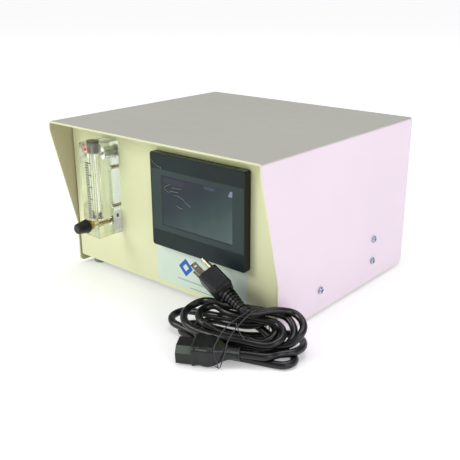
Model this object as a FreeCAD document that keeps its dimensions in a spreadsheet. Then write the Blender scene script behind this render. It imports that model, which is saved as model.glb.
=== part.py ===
import FreeCAD, Part
import math
import os
import re

import Sketcher

# A bench-top anesthesia gas control box: a folded sheet cabinet with a hooded front, a clear flowmeter
# with a needle valve, a touch panel, its inner parts, rear ports, and a detached mains lead in front.
# Frame: millimetres, +X to the right seen from the front, the front faces -Y, +Z up. The origin is the
# middle of the footprint of the machine without its lead, on the surface that the feet stand on.

DIMENSIONS = {
    # cabinet
    "face_y": -106.0, "cover_wide": 304.8, "cover_tall": 177.8, "cover_back": 248.9, "cover_lift": 3.0,
    "cover_thick": 2.0, "hood_reach": 29.6, "hood_lip": 10.9, "slant_end": 51.3, "wall_lead": 1.4,
    "bend_round": 3.5, "wall_corner": 6.0, "panel_thick": 1.5, "panel_low": 11.7, "panel_high": 178.2,
    "panel_half": 149.2, "panel_flange": 9.0, "panel_corner": 3.0, "rear_inset": 1.5,
    "tray_half": 150.0, "tray_low": 13.2, "tray_wall": 26.0, "tab_high": 62.0, "tab_half": 12.0,
    # fasteners
    "screw_back": 177.0, "screw_front": 71.2, "screw_low": 27.0, "screw_high": 53.2,
    "head_round": 4.0, "head_tall": 2.6, "shank_round": 1.9, "shank_long": 9.0, "screw_hole": 2.1,
    # feet
    "foot_x": 137.5, "foot_front": 19.2, "foot_back": 229.0, "foot_top_round": 9.0, "foot_low_round": 7.5,
    # touch panel
    "hmi_left": -10.5, "hmi_low": 62.3, "hmi_wide": 128.0, "hmi_tall": 102.0, "hmi_deep": 8.0,
    "gasket_thick": 1.0, "hmi_corner": 3.0, "cut_margin_x": 4.5, "cut_margin_z": 4.5, "hmi_behind": 30.0,
    "film_left": 1.6, "film_low": 18.5, "film_wide": 124.8, "film_tall": 66.5, "film_thick": 0.5,
    "view_left": 15.5, "view_low": 24.2, "view_wide": 97.0, "view_tall": 55.2, "front_wall": 2.0,
    # label under the touch panel
    "label_left": -13.8, "label_wide": 128.1, "label_low": 18.0, "label_tall": 44.0, "label_thick": 0.4,
    # flowmeter
    "flow_left": -95.0, "flow_wide": 25.0, "flow_deep": 34.0, "flow_low": 60.0, "flow_tall": 105.0,
    "flow_x": -82.5, "bore_back": 24.6, "bore_low_round": 3.6, "bore_top_round": 4.3, "bore_low": 80.0,
    "bore_top": 155.0, "plug_round": 6.8, "plug_proud": 2.4, "ball_round": 3.2, "ball_z": 84.6,
    "port_low": 73.9, "port_high": 152.3, "sleeve_round": 6.5, "sleeve_long": 14.5,
    "washer_round": 8.0, "washer_thick": 1.6, "valve_round": 3.2, "valve_back_round": 5.0,
    "collar_round": 5.6, "collar_long": 3.6, "valve_back_long": 11.0, "port_tail": 14.0, "port_drill": 2.0,
    "stem_round": 1.5, "stem_in_knob": 9.0, "stem_in_valve": 11.0, "knob_round": 7.6,
    "knob_tip_round": 5.8, "knob_long": 16.0,
    "knob_gap": 4.5, "flow_screw_low": 90.1, "flow_screw_high": 134.5, "flow_screw_round": 2.4,
    # mains inlet module
    "inlet_x": 96.0, "inlet_low": 40.0, "inlet_wide": 31.0, "inlet_tall": 66.0, "inlet_flange": 3.0,
    "inlet_deep": 30.0, "socket_wide": 24.6, "socket_tall": 16.8, "socket_deep": 16.0,
    "drawer_wide": 22.0, "drawer_tall": 9.0, "drawer_deep": 24.0, "rocker_wide": 19.0, "rocker_tall": 12.6,
    # gas ports at the rear
    "gas_x": -100.0, "gas_in_z": 125.0, "gas_out_z": 70.0, "port_reach": 19.1, "nut_flats": 17.0,
    "nut_thick": 4.0, "port_bore": 3.2, "port_thread": 7.1,
    # inner parts
    "regulator_half": 18.0, "regulator_low": 109.0, "regulator_tall": 32.0, "bonnet_round": 16.0,
    "valve_y": 110.0, "valve_side": 30.0, "valve_tall": 20.0, "coil_tall": 36.0, "tube_round": 3.0,
    "supply_left": 20.0, "supply_y": 125.0, "supply_wide": 98.0, "supply_deep": 75.0, "supply_tall": 38.0,
    "board_left": 15.0, "board_y": 42.0, "board_wide": 110.0, "board_deep": 68.0, "board_thick": 1.6,
    "standoff_tall": 10.0, "wire_round": 1.3,
    # mains lead, detached, in front of the machine's right half
    "cord_round": 3.7, "hank_x": 127.5, "hank_y": -146.0, "hank_turn": 22.0, "hank_half_long": 72.0,
    "hank_half_wide": 25.0, "hank_tall": 41.0, "plug_x": 134.9, "plug_y": -141.0, "plug_z": 40.6,
    "plug_wide": 21.0, "plug_tall": 19.0, "plug_body_long": 29.4, "relief_long": 22.0, "blade_long": 17.0,
    "blade_apart": 12.7, "blade_wide": 6.35, "blade_thick": 1.5, "ground_round": 2.4, "ground_extra": 3.2,
    "neck_x": 156.0, "neck_y": -167.5, "neck_z": 11.8, "connector_turn": 208.8, "connector_roll": -8.0,
    "neck_long": 18.5,
    "connector_body_long": 24.0, "connector_wide": 27.0, "connector_tall": 21.0, "nose_long": 15.7,
    "nose_wide": 24.0, "nose_tall": 16.4, "tie_round": 0.9,
}

V = FreeCAD.Vector
doc = FreeCAD.newDocument("anesthesia_machine")
sheet = doc.addObject("Spreadsheet::Sheet", "dims")
for row, (alias, value) in enumerate(DIMENSIONS.items(), 1):
    sheet.set(f"A{row}", str(value))
    sheet.setAlias(f"A{row}", alias)
doc.recompute()

FRONT = "face_y"
REAR = "(face_y + cover_back - rear_inset)"
TOP = "(cover_lift + cover_tall)"
PORT_Y = "(face_y - flow_deep)"
KNOB_BACK = "(face_y - flow_deep - knob_gap)"
HMI_FACE = "(face_y - gasket_thick - hmi_deep)"
HMI_RIGHT = "(hmi_left + hmi_wide)"
HMI_TOP = "(hmi_low + hmi_tall)"
BORE_Y = "(face_y - bore_back)"
INLET_RIGHT = "(inlet_x + inlet_wide / 2)"

TURNS = {
    "+x": FreeCAD.Rotation(V(0, 1, 0), 90), "-x": FreeCAD.Rotation(V(0, 1, 0), -90),
    "+y": FreeCAD.Rotation(V(1, 0, 0), -90), "-y": FreeCAD.Rotation(V(1, 0, 0), 90),
    "+z": FreeCAD.Rotation(), "-z": FreeCAD.Rotation(V(1, 0, 0), 180),
}
# each sketch plane: its origin plane's role, the sign of its normal along its world axis
PLANES = {"front": ("XZ_Plane", -1), "side": ("YZ_Plane", 1), "flat": ("XY_Plane", 1)}
nodes = []


def formula(text):
    """Point every dimension's name in a formula at the spreadsheet."""
    return re.sub(r"[a-z][a-z_]+", lambda word: "dims." + word[0] if word[0] in DIMENSIONS else word[0], text)


def number(text):
    """The value that a formula has now."""
    return float(sheet.evalExpression(formula(text)))


def bind(item, prop, text):
    item.setExpression(prop, formula(text))


def place(item, corner, turn="+z"):
    item.Placement = FreeCAD.Placement(V(), TURNS[turn])
    for axis, text in zip("xyz", corner):
        bind(item, f"Placement.Base.{axis}", text)
    return item


def keep(item, label):
    """Name a finished sub-part; it is written to its own file."""
    item.Label = label
    nodes.append(item)
    return item


def box(name, corner, size):
    item = doc.addObject("Part::Box", name)
    for prop, text in zip(("Length", "Width", "Height"), size):
        bind(item, prop, text)
    return place(item, corner)


def rod(name, start, turn, radius, length):
    item = doc.addObject("Part::Cylinder", name)
    bind(item, "Radius", radius)
    bind(item, "Height", length)
    return place(item, start, turn)


def cone(name, start, turn, first, last, length):
    item = doc.addObject("Part::Cone", name)
    bind(item, "Radius1", first)
    bind(item, "Radius2", last)
    bind(item, "Height", length)
    return place(item, start, turn)


def hexagon(name, start, turn, flats, length):
    item = doc.addObject("Part::Prism", name)
    item.Polygon = 6
    bind(item, "Circumradius", f"{flats} / sqrt(3)")
    bind(item, "Height", length)
    return place(item, start, turn)


def fuse(name, *items):
    item = doc.addObject("Part::MultiFuse", name)
    item.Shapes = list(items)
    return item


def cut(name, base, *tools):
    item = doc.addObject("Part::Cut", name)
    item.Base = base
    item.Tool = tools[0] if len(tools) == 1 else fuse(name + "_tools", *tools)
    return item


def group(label, *items):
    """Separate solids of one kind that share a node."""
    item = doc.addObject("Part::Compound", label)
    item.Links = list(items)
    return keep(item, label)


def rounded(name, item, radius, test):
    """Round the edges of a Part object that the test picks."""
    doc.recompute()
    blend = doc.addObject("Part::Fillet", name)
    blend.Base = item
    size = number(radius)
    picked = [i for i, edge in enumerate(item.Shape.Edges, 1) if test(edge)]
    blend.Edges = [(i, size, size) for i in picked]
    return blend


def near(first, second, slack=0.01):
    return abs(first - second) < slack


def along(edge, axis):
    """True for a straight edge that runs along one world axis."""
    box_ = edge.BoundBox
    spans = {"x": box_.XLength, "y": box_.YLength, "z": box_.ZLength}
    run = spans.pop(axis)
    return run > 0.01 and max(spans.values()) < 0.001


def rectangle(left, low, right, high):
    return [(left, low), (right, low), (right, high), (left, high)]


class Piece:
    """A PartDesign body built feature by feature. Places and sizes are formulas of the spreadsheet."""

    def __init__(self, label):
        self.body = doc.addObject("PartDesign::Body", label)
        keep(self.body, label)

    def sketch(self, plane, origin, outlines=(), circles=()):
        role, sign = PLANES[plane]
        sketch = self.body.newObject("Sketcher::SketchObject", f"{self.body.Name}_sketch")
        support = [part for part in self.body.Origin.OriginFeatures if part.Role == role][0]
        sketch.AttachmentSupport = [(support, "")]
        sketch.MapMode = "FlatFace"
        x, y, z = origin
        local = {"front": (x, z, f"-({y})"), "side": (y, z, x), "flat": (x, y, z)}[plane]
        for axis, text in zip("xyz", local):
            bind(sketch, f"AttachmentOffset.Base.{axis}", text)
        for outline in outlines:
            self.draw_outline(sketch, outline)
        for centre_x, centre_y, radius in circles:
            self.draw_circle(sketch, centre_x, centre_y, radius)
        return sketch

    def fix_point(self, sketch, index, point, x, y):
        """Hold a point at a place given by two formulas, measured from the sketch's origin."""
        for kind, text in (("DistanceX", x), ("DistanceY", y)):
            made = sketch.addConstraint(Sketcher.Constraint(kind, index, point, number(text)))
            bind(sketch, f"Constraints[{made}]", text)

    def draw_outline(self, sketch, corners):
        points = [V(number(x), number(y), 0) for x, y in corners]
        first = sketch.GeometryCount
        count = len(points)
        for i in range(count):
            sketch.addGeometry(Part.LineSegment(points[i], points[(i + 1) % count]))
        for i in range(count):
            following = first + (i + 1) % count
            sketch.addConstraint(Sketcher.Constraint("Coincident", first + i, 2, following, 1))
        for i, (x, y) in enumerate(corners):
            self.fix_point(sketch, first + i, 1, x, y)

    def draw_circle(self, sketch, x, y, radius):
        circle = Part.Circle(V(number(x), number(y), 0), V(0, 0, 1), number(radius))
        index = sketch.addGeometry(circle)
        self.fix_point(sketch, index, 3, x, y)
        made = sketch.addConstraint(Sketcher.Constraint("Radius", index, number(radius)))
        bind(sketch, f"Constraints[{made}]", radius)

    def feature(self, kind, sketch, length):
        item = self.body.newObject(f"PartDesign::{kind}", f"{self.body.Name}_{kind}")
        item.Profile = sketch
        if length == "through":
            item.Type = "ThroughAll"
            item.SideType = "Symmetric"
        else:
            bind(item, "Length", length)
        return item

    def pad(self, plane, origin, length, toward=1, outlines=(), circles=()):
        """Add material: toward is +1 or -1 along the plane's world axis, or 0 for both ways."""
        item = self.feature("Pad", self.sketch(plane, origin, outlines, circles), length)
        if toward == 0:
            item.SideType = "Symmetric"
        else:
            item.Reversed = toward * PLANES[plane][1] < 0
        doc.recompute()
        return item

    def pocket(self, plane, origin, length="through", toward=1, outlines=(), circles=()):
        """Take material away, and make sure that some went."""
        doc.recompute()
        before = self.body.Shape.Volume
        item = self.feature("Pocket", self.sketch(plane, origin, outlines, circles), length)
        if length != "through":
            item.Reversed = toward * PLANES[plane][1] > 0
        doc.recompute()
        if self.body.Shape.Volume > before - 0.01:
            raise ValueError(f"{item.Name} takes nothing away")
        return item

    def revolve(self, plane, origin, outline):
        """Turn an outline about its sketch's horizontal axis."""
        sketch = self.sketch(plane, origin, [outline])
        item = self.body.newObject("PartDesign::Revolution", f"{self.body.Name}_turned")
        item.Profile = sketch
        item.ReferenceAxis = (sketch, ["H_Axis"])
        item.Angle = 360
        doc.recompute()
        return item

    def repeat_round(self, item, count):
        """Repeat a feature about the normal of its own sketch."""
        pattern = self.body.newObject("PartDesign::PolarPattern", f"{self.body.Name}_ring")
        pattern.Originals = [item]
        pattern.Axis = (item.Profile[0], ["N_Axis"])
        pattern.Angle = 360
        pattern.Occurrences = count
        self.body.Tip = pattern
        doc.recompute()

    def repeat_along(self, item, axis, length, count):
        pattern = self.body.newObject("PartDesign::LinearPattern", f"{self.body.Name}_row")
        pattern.Originals = [item]
        pattern.Direction = (item.Profile[0], [axis])
        pattern.Length = number(length)
        pattern.Occurrences = count
        self.body.Tip = pattern
        doc.recompute()

    def soften(self, radius, test, kind="Fillet"):
        """Round or chamfer the edges that the test picks."""
        doc.recompute()
        base = self.body.Tip
        names = [f"Edge{i}" for i, edge in enumerate(base.Shape.Edges, 1) if test(edge)]
        if not names:
            raise ValueError(f"no edge to soften on {self.body.Label}")
        item = self.body.newObject(f"PartDesign::{kind}", f"{self.body.Name}_{kind}")
        item.Base = (base, names)
        bind(item, "Radius" if kind == "Fillet" else "Size", radius)
        doc.recompute()


# ---------------------------------------------------------------------------------------------- cabinet

HOOD_FRONT = "(face_y - hood_reach)"
WALL_FRONT = "(face_y - wall_lead)"
COVER_REAR = "(face_y + cover_back)"
INNER = "(cover_wide / 2 - cover_thick)"
SIDE_SCREWS = [("screw_back", "screw_low"), ("screw_back", "screw_high"), ("screw_front", "screw_low")]
ORIGIN = ("0", "0", "0")


def side_holes():
    return [(f"face_y + {y}", z, "screw_hole") for y, z in SIDE_SCREWS]


def make_cover():
    """One folded sheet: the top, two side walls with slanted front edges, and the hood over the panel."""
    cover = Piece("cover")
    outline = [
        (HOOD_FRONT, TOP), (HOOD_FRONT, f"{TOP} - hood_lip"), (WALL_FRONT, "cover_lift + slant_end"),
        (WALL_FRONT, "cover_lift"), (COVER_REAR, "cover_lift"), (COVER_REAR, TOP),
    ]
    cover.pad("side", ORIGIN, "cover_wide", 0, [outline])
    inside = rectangle(f"-{INNER}", "cover_lift - 1", INNER, f"{TOP} - cover_thick")
    cover.pocket("front", ORIGIN, outlines=[inside])
    top, half, thick = number(TOP), number("cover_wide / 2"), number("cover_thick")
    cover.soften("bend_round", lambda edge: along(edge, "y") and near(edge.BoundBox.ZMin, top)
                 and near(abs(edge.BoundBox.XMin), half))
    cover.soften("bend_round - cover_thick", lambda edge: along(edge, "y")
                 and near(edge.BoundBox.ZMin, top - thick) and near(abs(edge.BoundBox.XMin), half - thick))
    cover.soften("wall_corner", lambda edge: along(edge, "x") and near(edge.BoundBox.XLength, thick)
                 and near(edge.BoundBox.ZMin, number("cover_lift")))
    cover.pocket("side", ORIGIN, circles=side_holes())


def make_pan(label, face, toward, cutouts=(), holes=()):
    """A panel with a flange folded back all round; its face lies at one Y and its flange runs toward."""
    pan = Piece(label)
    outer = rectangle("-panel_half", "panel_low", "panel_half", "panel_high")
    pan.pad("front", ("0", face, "0"), "panel_flange", toward, [outer])
    pan.soften("panel_corner", lambda edge: along(edge, "y"))
    inner = rectangle("panel_thick - panel_half", "panel_low + panel_thick", "panel_half - panel_thick",
                      "panel_high - panel_thick")
    behind = f"{face} + {toward} * panel_flange"
    pan.pocket("front", ("0", behind, "0"), "panel_flange - panel_thick", -toward, [inner])
    front = number(face)
    pan.soften("panel_thick * 0.8", lambda edge: near(edge.BoundBox.YMin, front)
               and near(edge.BoundBox.YMax, front))
    pan.pocket("front", ORIGIN, outlines=cutouts, circles=holes)
    return pan


def make_panels():
    """The front panel with its touch-panel window, and the rear panel with its ports and vents."""
    window = rectangle("hmi_left + cut_margin_x", "hmi_low + cut_margin_z", f"{HMI_RIGHT} - cut_margin_x",
                       f"{HMI_TOP} - cut_margin_z")
    front_holes = [("flow_x", "port_low", "5.2"), ("flow_x", "port_high", "5.2")]
    front_holes += [("flow_x", "flow_screw_low", "1.8"), ("flow_x", "flow_screw_high", "1.8")]
    make_pan("front_panel", FRONT, 1, [window], front_holes)

    inlet = rectangle("inlet_x - inlet_wide / 2 + 2", "inlet_low + 2", f"{INLET_RIGHT} - 2",
                      "inlet_low + inlet_tall - 2")
    ports = [("gas_x", "gas_in_z", "7.3"), ("gas_x", "gas_out_z", "7.3")]
    rear = make_pan("rear_panel", REAR, -1, [inlet], ports)
    slot = rectangle("-55", "60", "-52", "120")
    vent = rear.pocket("front", ORIGIN, outlines=[slot])
    rear.repeat_along(vent, "H_Axis", "90", 10)


def make_tray():
    """The base sheet, folded up at both sides, with a raised tab each side for the upper side screw."""
    tray = Piece("base_tray")
    start = "(face_y + panel_flange + 0.5)"
    end = f"({REAR} - panel_flange - 0.5)"
    wall_top = "(tray_low + tray_wall)"
    tab_front = "(face_y + screw_back - tab_half)"
    tab_back = "(face_y + screw_back + tab_half)"
    outline = [
        (start, "tray_low"), (end, "tray_low"), (end, wall_top), (tab_back, wall_top),
        (tab_back, "tab_high"), (tab_front, "tab_high"), (tab_front, wall_top), (start, wall_top),
    ]
    tray.pad("side", ORIGIN, "2 * tray_half", 0, [outline])
    inside = rectangle("panel_thick - tray_half", "tray_low + panel_thick", "tray_half - panel_thick",
                       "tab_high + 1")
    tray.pocket("front", ORIGIN, outlines=[inside])
    low, half = number("tray_low"), number("tray_half")
    tray.soften("panel_thick + 0.5", lambda edge: along(edge, "y") and near(edge.BoundBox.ZMin, low)
                and near(abs(edge.BoundBox.XMin), half))
    lips = []
    for edge_y, far in (("face_y + panel_thick + 0.1", start), (end, f"{REAR} - panel_thick - 0.1")):
        lips.append(rectangle("10 - panel_half", edge_y, "panel_half - 10", far))
    tray.pad("flat", ("0", "0", "tray_low"), "panel_thick", 1, lips)
    tray.pocket("side", ORIGIN, circles=side_holes())
    feet = [(x, y, "2.2") for x, y, _ in foot_places()]
    tray.pocket("flat", ORIGIN, circles=feet)


def screw(name, start, turn, back):
    """A pan-head screw with a cross recess: its head runs along turn, its shank along back."""
    x, y, z = start
    head = rod(name + "_head", start, turn, "head_round", "head_tall")
    rim = rounded(name + "_rim", head, "1.5", lambda edge: near_end(edge, head, turn))
    shank = rod(name + "_shank", start, back, "shank_round", "shank_long")
    sign = 1 if turn[0] == "+" else -1
    slots = []
    for wide, tall in (("4.6", "1"), ("1", "4.6")):
        if turn[1] == "x":
            deep = f"{x} + {sign} * head_tall - ({sign} + 1) * 0.7"
            corner = (deep, f"{y} - {wide} / 2", f"{z} - {tall} / 2")
            slots.append(box(name + "_slot", corner, ("1.4", wide, tall)))
        else:
            deep = f"{y} + {sign} * head_tall - ({sign} + 1) * 0.7"
            corner = (f"{x} - {wide} / 2", deep, f"{z} - {tall} / 2")
            slots.append(box(name + "_slot", corner, (wide, "1.4", tall)))
    return cut(name, fuse(name + "_solid", rim, shank), *slots)


def near_end(edge, head, turn):
    """True for the round edge at the outer end of a screw head."""
    whole, box_ = head.Shape.BoundBox, edge.BoundBox
    if turn[1] == "x":
        end = whole.XMax if turn[0] == "+" else whole.XMin
        return near(box_.XMin, end) and near(box_.XMax, end)
    end = whole.YMax if turn[0] == "+" else whole.YMin
    return near(box_.YMin, end) and near(box_.YMax, end)


def make_screws():
    """The cover's side screws, three a side, into the tray's walls and tabs."""
    for side, turn, back, sign in (("right", "+x", "-x", "1"), ("left", "-x", "+x", "-1")):
        made = []
        for i, (y, z) in enumerate(SIDE_SCREWS):
            start = (f"{sign} * cover_wide / 2", f"face_y + {y}", z)
            made.append(screw(f"cover_screw_{side}_{i}", start, turn, back))
        group(f"cover_screws_{side}", *made)


def foot_places():
    """Each foot's centre and name."""
    places = []
    for depth in ("front", "back"):
        for side, sign in (("left", "-"), ("right", "")):
            places.append((f"{sign}foot_x", f"face_y + foot_{depth}", f"foot_{depth}_{side}"))
    return places


def make_feet():
    """Four tapered rubber feet, each with a screw up through it into the tray."""
    screws = []
    for x, y, name in foot_places():
        block = cone(name + "_block", (x, y, "0"), "+z", "foot_low_round", "foot_top_round", "tray_low")
        well = rod(name + "_well", (x, y, "0"), "+z", "4.6", "5")
        hole = rod(name + "_hole", (x, y, "0"), "+z", "2.2", "tray_low")
        keep(cut(name, block, well, hole), name)
        head = rod(name + "_head", (x, y, "2.6"), "+z", "3.8", "2.4")
        shank = rod(name + "_shank", (x, y, "5"), "+z", "shank_round", "tray_low")
        screws.append(fuse(name + "_screw", head, shank))
    group("foot_screws", *screws)


# ------------------------------------------------------------------------------------------ touch panel

def make_touch_panel():
    """Bezel, film, display, housing, gasket, clamps and power plug of the 4.3-inch operator panel."""
    left, low, right, top = number("hmi_left"), number("hmi_low"), number(HMI_RIGHT), number(HMI_TOP)
    face = number(HMI_FACE)
    bezel = Piece("hmi_bezel")
    outer = rectangle("hmi_left", "hmi_low", HMI_RIGHT, HMI_TOP)
    bezel.pad("front", ("0", HMI_FACE, "0"), "hmi_deep", 1, [outer])
    bezel.soften("hmi_corner", lambda edge: along(edge, "y"))
    bezel.soften("0.9", lambda edge: near(edge.BoundBox.YMax, face))
    film = rectangle("hmi_left + film_left - 0.1", "hmi_low + film_low - 0.1",
                     "hmi_left + film_left + film_wide + 0.1", "hmi_low + film_low + film_tall + 0.1")
    bezel.pocket("front", ("0", HMI_FACE, "0"), "film_thick", 1, [film])
    view = rectangle("hmi_left + view_left", "hmi_low + view_low", "hmi_left + view_left + view_wide",
                     "hmi_low + view_low + view_tall")
    bezel.pocket("front", ORIGIN, outlines=[view])
    well = rectangle("hmi_left + 8", "hmi_low + 8", f"{HMI_RIGHT} - 8", f"{HMI_TOP} - 8")
    bezel.pocket("front", ("0", "face_y - gasket_thick", "0"), "hmi_deep - front_wall", -1, [well])
    rib = rectangle("hmi_left + 12", f"{HMI_FACE} + 1.6", "hmi_left + 13.4", "face_y - gasket_thick - 1")
    groove = bezel.pocket("flat", ("0", "0", HMI_TOP), "0.6", -1, [rib])
    bezel.repeat_along(groove, "H_Axis", "102.6", 28)

    sheet_film = box("touch_film_sheet", ("hmi_left + film_left", HMI_FACE, "hmi_low + film_low"),
                     ("film_wide", "film_thick", "film_tall"))
    keep(sheet_film, "touch_film")
    display = box("lcd_block", ("hmi_left + 9", f"{HMI_FACE} + front_wall", "hmi_low + 12"),
                  ("hmi_wide - 18", "4.5", "hmi_tall - 24"))
    keep(display, "lcd_module")

    gasket = box("gasket_outer", ("hmi_left + 1.5", "face_y - gasket_thick", "hmi_low + 1.5"),
                 ("hmi_wide - 3", "gasket_thick", "hmi_tall - 3"))
    opening = box("gasket_inner", ("hmi_left + 5.2", "face_y - gasket_thick", "hmi_low + 5.2"),
                  ("hmi_wide - 10.4", "gasket_thick", "hmi_tall - 10.4"))
    keep(cut("hmi_gasket", gasket, opening), "hmi_gasket")

    margin, wall = "5.5", "2"
    shell = box("housing_outer", (f"hmi_left + {margin}", "face_y - gasket_thick", f"hmi_low + {margin}"),
                (f"hmi_wide - 2 * {margin}", "hmi_behind", f"hmi_tall - 2 * {margin}"))
    shell = rounded("housing_round", shell, "2", lambda edge: along(edge, "y"))
    hollow = box("housing_inner", (f"hmi_left + {margin} + {wall}", "face_y - gasket_thick",
                                   f"hmi_low + {margin} + {wall}"),
                 (f"hmi_wide - 2 * {margin} - 2 * {wall}", f"hmi_behind - {wall}",
                  f"hmi_tall - 2 * {margin} - 2 * {wall}"))
    slots = [box("housing_slot", (f"hmi_left + {18 + 10 * i}", "face_y + 8", f"{HMI_TOP} - 12"),
                 ("5", "14", "8")) for i in range(10)]
    keep(cut("hmi_housing", shell, hollow, *slots), "hmi_housing")

    clamps = []
    for i, x in enumerate((left + 30, right - 42)):
        for j, (z, pull) in enumerate(((low - 4, 0), (top - 5.4, 6.4))):
            foot = box(f"clamp_foot_{i}{j}", (str(x), "face_y + panel_thick + 6", str(z)), ("12", "8", "9.4"))
            jack = rod(f"clamp_jack_{i}{j}", (str(x + 6), "face_y + panel_thick", str(z + pull + 1.5)), "+y",
                       "1.5", "6")
            clamps.append(fuse(f"clamp_{i}{j}", foot, jack))
    group("hmi_clamps", *clamps)
    socket = box("terminal", (str(right - 40), "face_y - gasket_thick + hmi_behind", str(low + 14)),
                 ("15.2", "11", "8.5"))
    keep(socket, "hmi_power_plug")


def make_label():
    plate = box("label_plate", ("label_left", "face_y - label_thick", "label_low"),
                ("label_wide", "label_thick", "label_tall"))
    keep(rounded("label_rounded", plate, "2", lambda edge: along(edge, "y")), "front_label")


# -------------------------------------------------------------------------------------------- flowmeter

def make_flow_body():
    """A clear block: a tapered float bore from the top, a port at each end, and mounting holes."""
    body = Piece("flow_body")
    outer = rectangle("flow_left", PORT_Y, "flow_left + flow_wide", FRONT)
    body.pad("flat", ("0", "0", "flow_low"), "flow_tall", 1, [outer])
    body.soften("0.5", lambda edge: near(edge.BoundBox.YMin, number(PORT_Y))
                and near(edge.BoundBox.YMax, number(PORT_Y)), "Chamfer")
    top = "(flow_low + flow_tall)"
    plug_hole = [("flow_x", BORE_Y, "plug_round - 0.8")]
    body.pocket("flat", ("0", "0", top), f"{top} - bore_top", -1, circles=plug_hole)
    sketch = body.sketch("flat", ("0", "0", "bore_top"), circles=[("flow_x", BORE_Y, "bore_top_round")])
    taper = body.feature("Pocket", sketch, "bore_top - bore_low")
    taper.TaperAngle = -math.degrees(math.atan2(number("bore_top_round - bore_low_round"),
                                                number("bore_top - bore_low")))
    doc.recompute()
    passage = [("flow_x", BORE_Y, "1.4")]
    body.pocket("flat", ("0", "0", "bore_low"), "bore_low - port_low", -1, circles=passage)
    body.pocket("front", ORIGIN, circles=[("flow_x", "port_low", "valve_round + 0.05")])
    back_holes = [
        ("sleeve_long + washer_thick", "port_high", "sleeve_round + 0.05"),
        ("washer_thick", "port_high", "washer_round + 0.05"),
        ("bore_back", "port_high", "port_drill"),
        ("valve_back_long", "port_low", "valve_back_round + 0.05"),
        ("8", "flow_screw_low", "flow_screw_round + 0.05"),
        ("8", "flow_screw_high", "flow_screw_round + 0.05"),
    ]
    for deep, height, radius in back_holes:
        body.pocket("front", ("0", FRONT, "0"), deep, -1, circles=[("flow_x", height, radius)])


def make_flow_fittings():
    """What is in and on the flowmeter's block, apart from its moving valve."""
    top = "(flow_low + flow_tall)"
    head = rod("plug_head", ("flow_x", BORE_Y, top), "+z", "plug_round", "plug_proud")
    body = rod("plug_body", ("flow_x", BORE_Y, "bore_top"), "+z", "plug_round - 0.85", f"{top} - bore_top")
    key = box("plug_key", ("flow_x - 4", f"{BORE_Y} - 0.6", f"{top} + plug_proud - 1"), ("8", "1.2", "1"))
    keep(cut("tube_end_plug", fuse("plug_solid", head, body), key), "tube_end_plug")

    ball = doc.addObject("Part::Sphere", "float_ball")
    bind(ball, "Radius", "ball_round")
    keep(place(ball, ("flow_x", BORE_Y, "ball_z")), "float_ball")
    stops = []
    for name, low in (("low", "bore_low + 0.1"), ("high", "bore_top - 1.3")):
        ring = rod(f"stop_ring_{name}", ("flow_x", BORE_Y, low), "+z", "bore_low_round - 0.1", "1.2")
        hole = rod(f"stop_hole_{name}", ("flow_x", BORE_Y, low), "+z", "1.6", "1.2")
        stops.append(cut(f"stop_{name}", ring, hole))
    group("float_stops", *stops)

    step = ("flow_x", "face_y - washer_thick", "port_high")
    sleeve = rod("sleeve_body", step, "-y", "sleeve_round", "sleeve_long")
    shaft = rod("sleeve_shaft", step, "+y", "valve_back_round", "washer_thick + port_tail")
    hole = rod("sleeve_hole", ("flow_x", "face_y - washer_thick - sleeve_long", "port_high"), "+y",
               "port_drill", "sleeve_long + washer_thick + port_tail")
    keep(cut("outlet_sleeve", fuse("sleeve_solid", sleeve, shaft), hole), "outlet_sleeve")
    ring = rod("washer_ring", ("flow_x", FRONT, "port_high"), "-y", "washer_round", "washer_thick")
    ring_hole = rod("washer_hole", ("flow_x", FRONT, "port_high"), "-y", "valve_back_round + 0.05",
                    "washer_thick")
    keep(cut("outlet_washer", ring, ring_hole), "outlet_washer")

    mouth = ("flow_x", PORT_Y, "port_low")
    step = ("flow_x", "face_y - valve_back_long", "port_low")
    front = rod("valve_front", mouth, "+y", "valve_round", "flow_deep - valve_back_long")
    rear = rod("valve_rear", step, "+y", "valve_back_round", "valve_back_long + port_tail")
    collar = rod("valve_collar", mouth, "-y", "collar_round", "collar_long")
    seat = rod("valve_seat", step, "+y", "port_drill", "valve_back_long + port_tail")
    guide = rod("valve_guide", ("flow_x", f"{PORT_Y} - collar_long", "port_low"), "+y", "stem_round + 0.06",
                "collar_long + 13.4")
    cross = rod("valve_cross", ("flow_x", BORE_Y, "port_low"), "+z", "0.9", "valve_round + 0.1")
    orifice = rod("valve_orifice", ("flow_x", f"{PORT_Y} + 13", "port_low"), "+y", "0.75", "12")
    solid = fuse("valve_solid", front, rear, collar)
    keep(cut("valve_body", solid, seat, guide, cross, orifice), "valve_body")

    screws = []
    for name in ("flow_screw_low", "flow_screw_high"):
        insert = rod(name + "_insert", ("flow_x", "face_y - 6", name), "+y", "flow_screw_round", "6")
        shank = rod(name + "_shank", ("flow_x", FRONT, name), "+y", "1.5", "panel_thick")
        head = rod(name + "_head", ("flow_x", "face_y + panel_thick", name), "+y", "3", "2")
        screws.append(fuse(name + "_part", insert, shank, head))
    group("flow_mount_screws", *screws)
    nuts = []
    barbs = []
    for name in ("port_low", "port_high"):
        nut = hexagon(name + "_hex", ("flow_x", "face_y + panel_thick", name), "+y", "14", "nut_thick")
        thread = rod(name + "_hex_hole", ("flow_x", "face_y + panel_thick", name), "+y",
                     "valve_back_round + 0.05", "nut_thick")
        nuts.append(cut(name + "_nut", nut, thread))
        barbs.append(barb(name + "_barb", ("flow_x", "face_y + port_tail", name), "+y", "3.4", "14"))
    group("flow_port_nuts", *nuts)
    group("flow_port_barbs", *barbs)
    sticker = box("flow_sticker", ("flow_left + flow_wide", "face_y - 12.4", "flow_low + 0.6"),
                  ("0.15", "12", "26"))
    keep(sticker, "flow_label")


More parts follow.
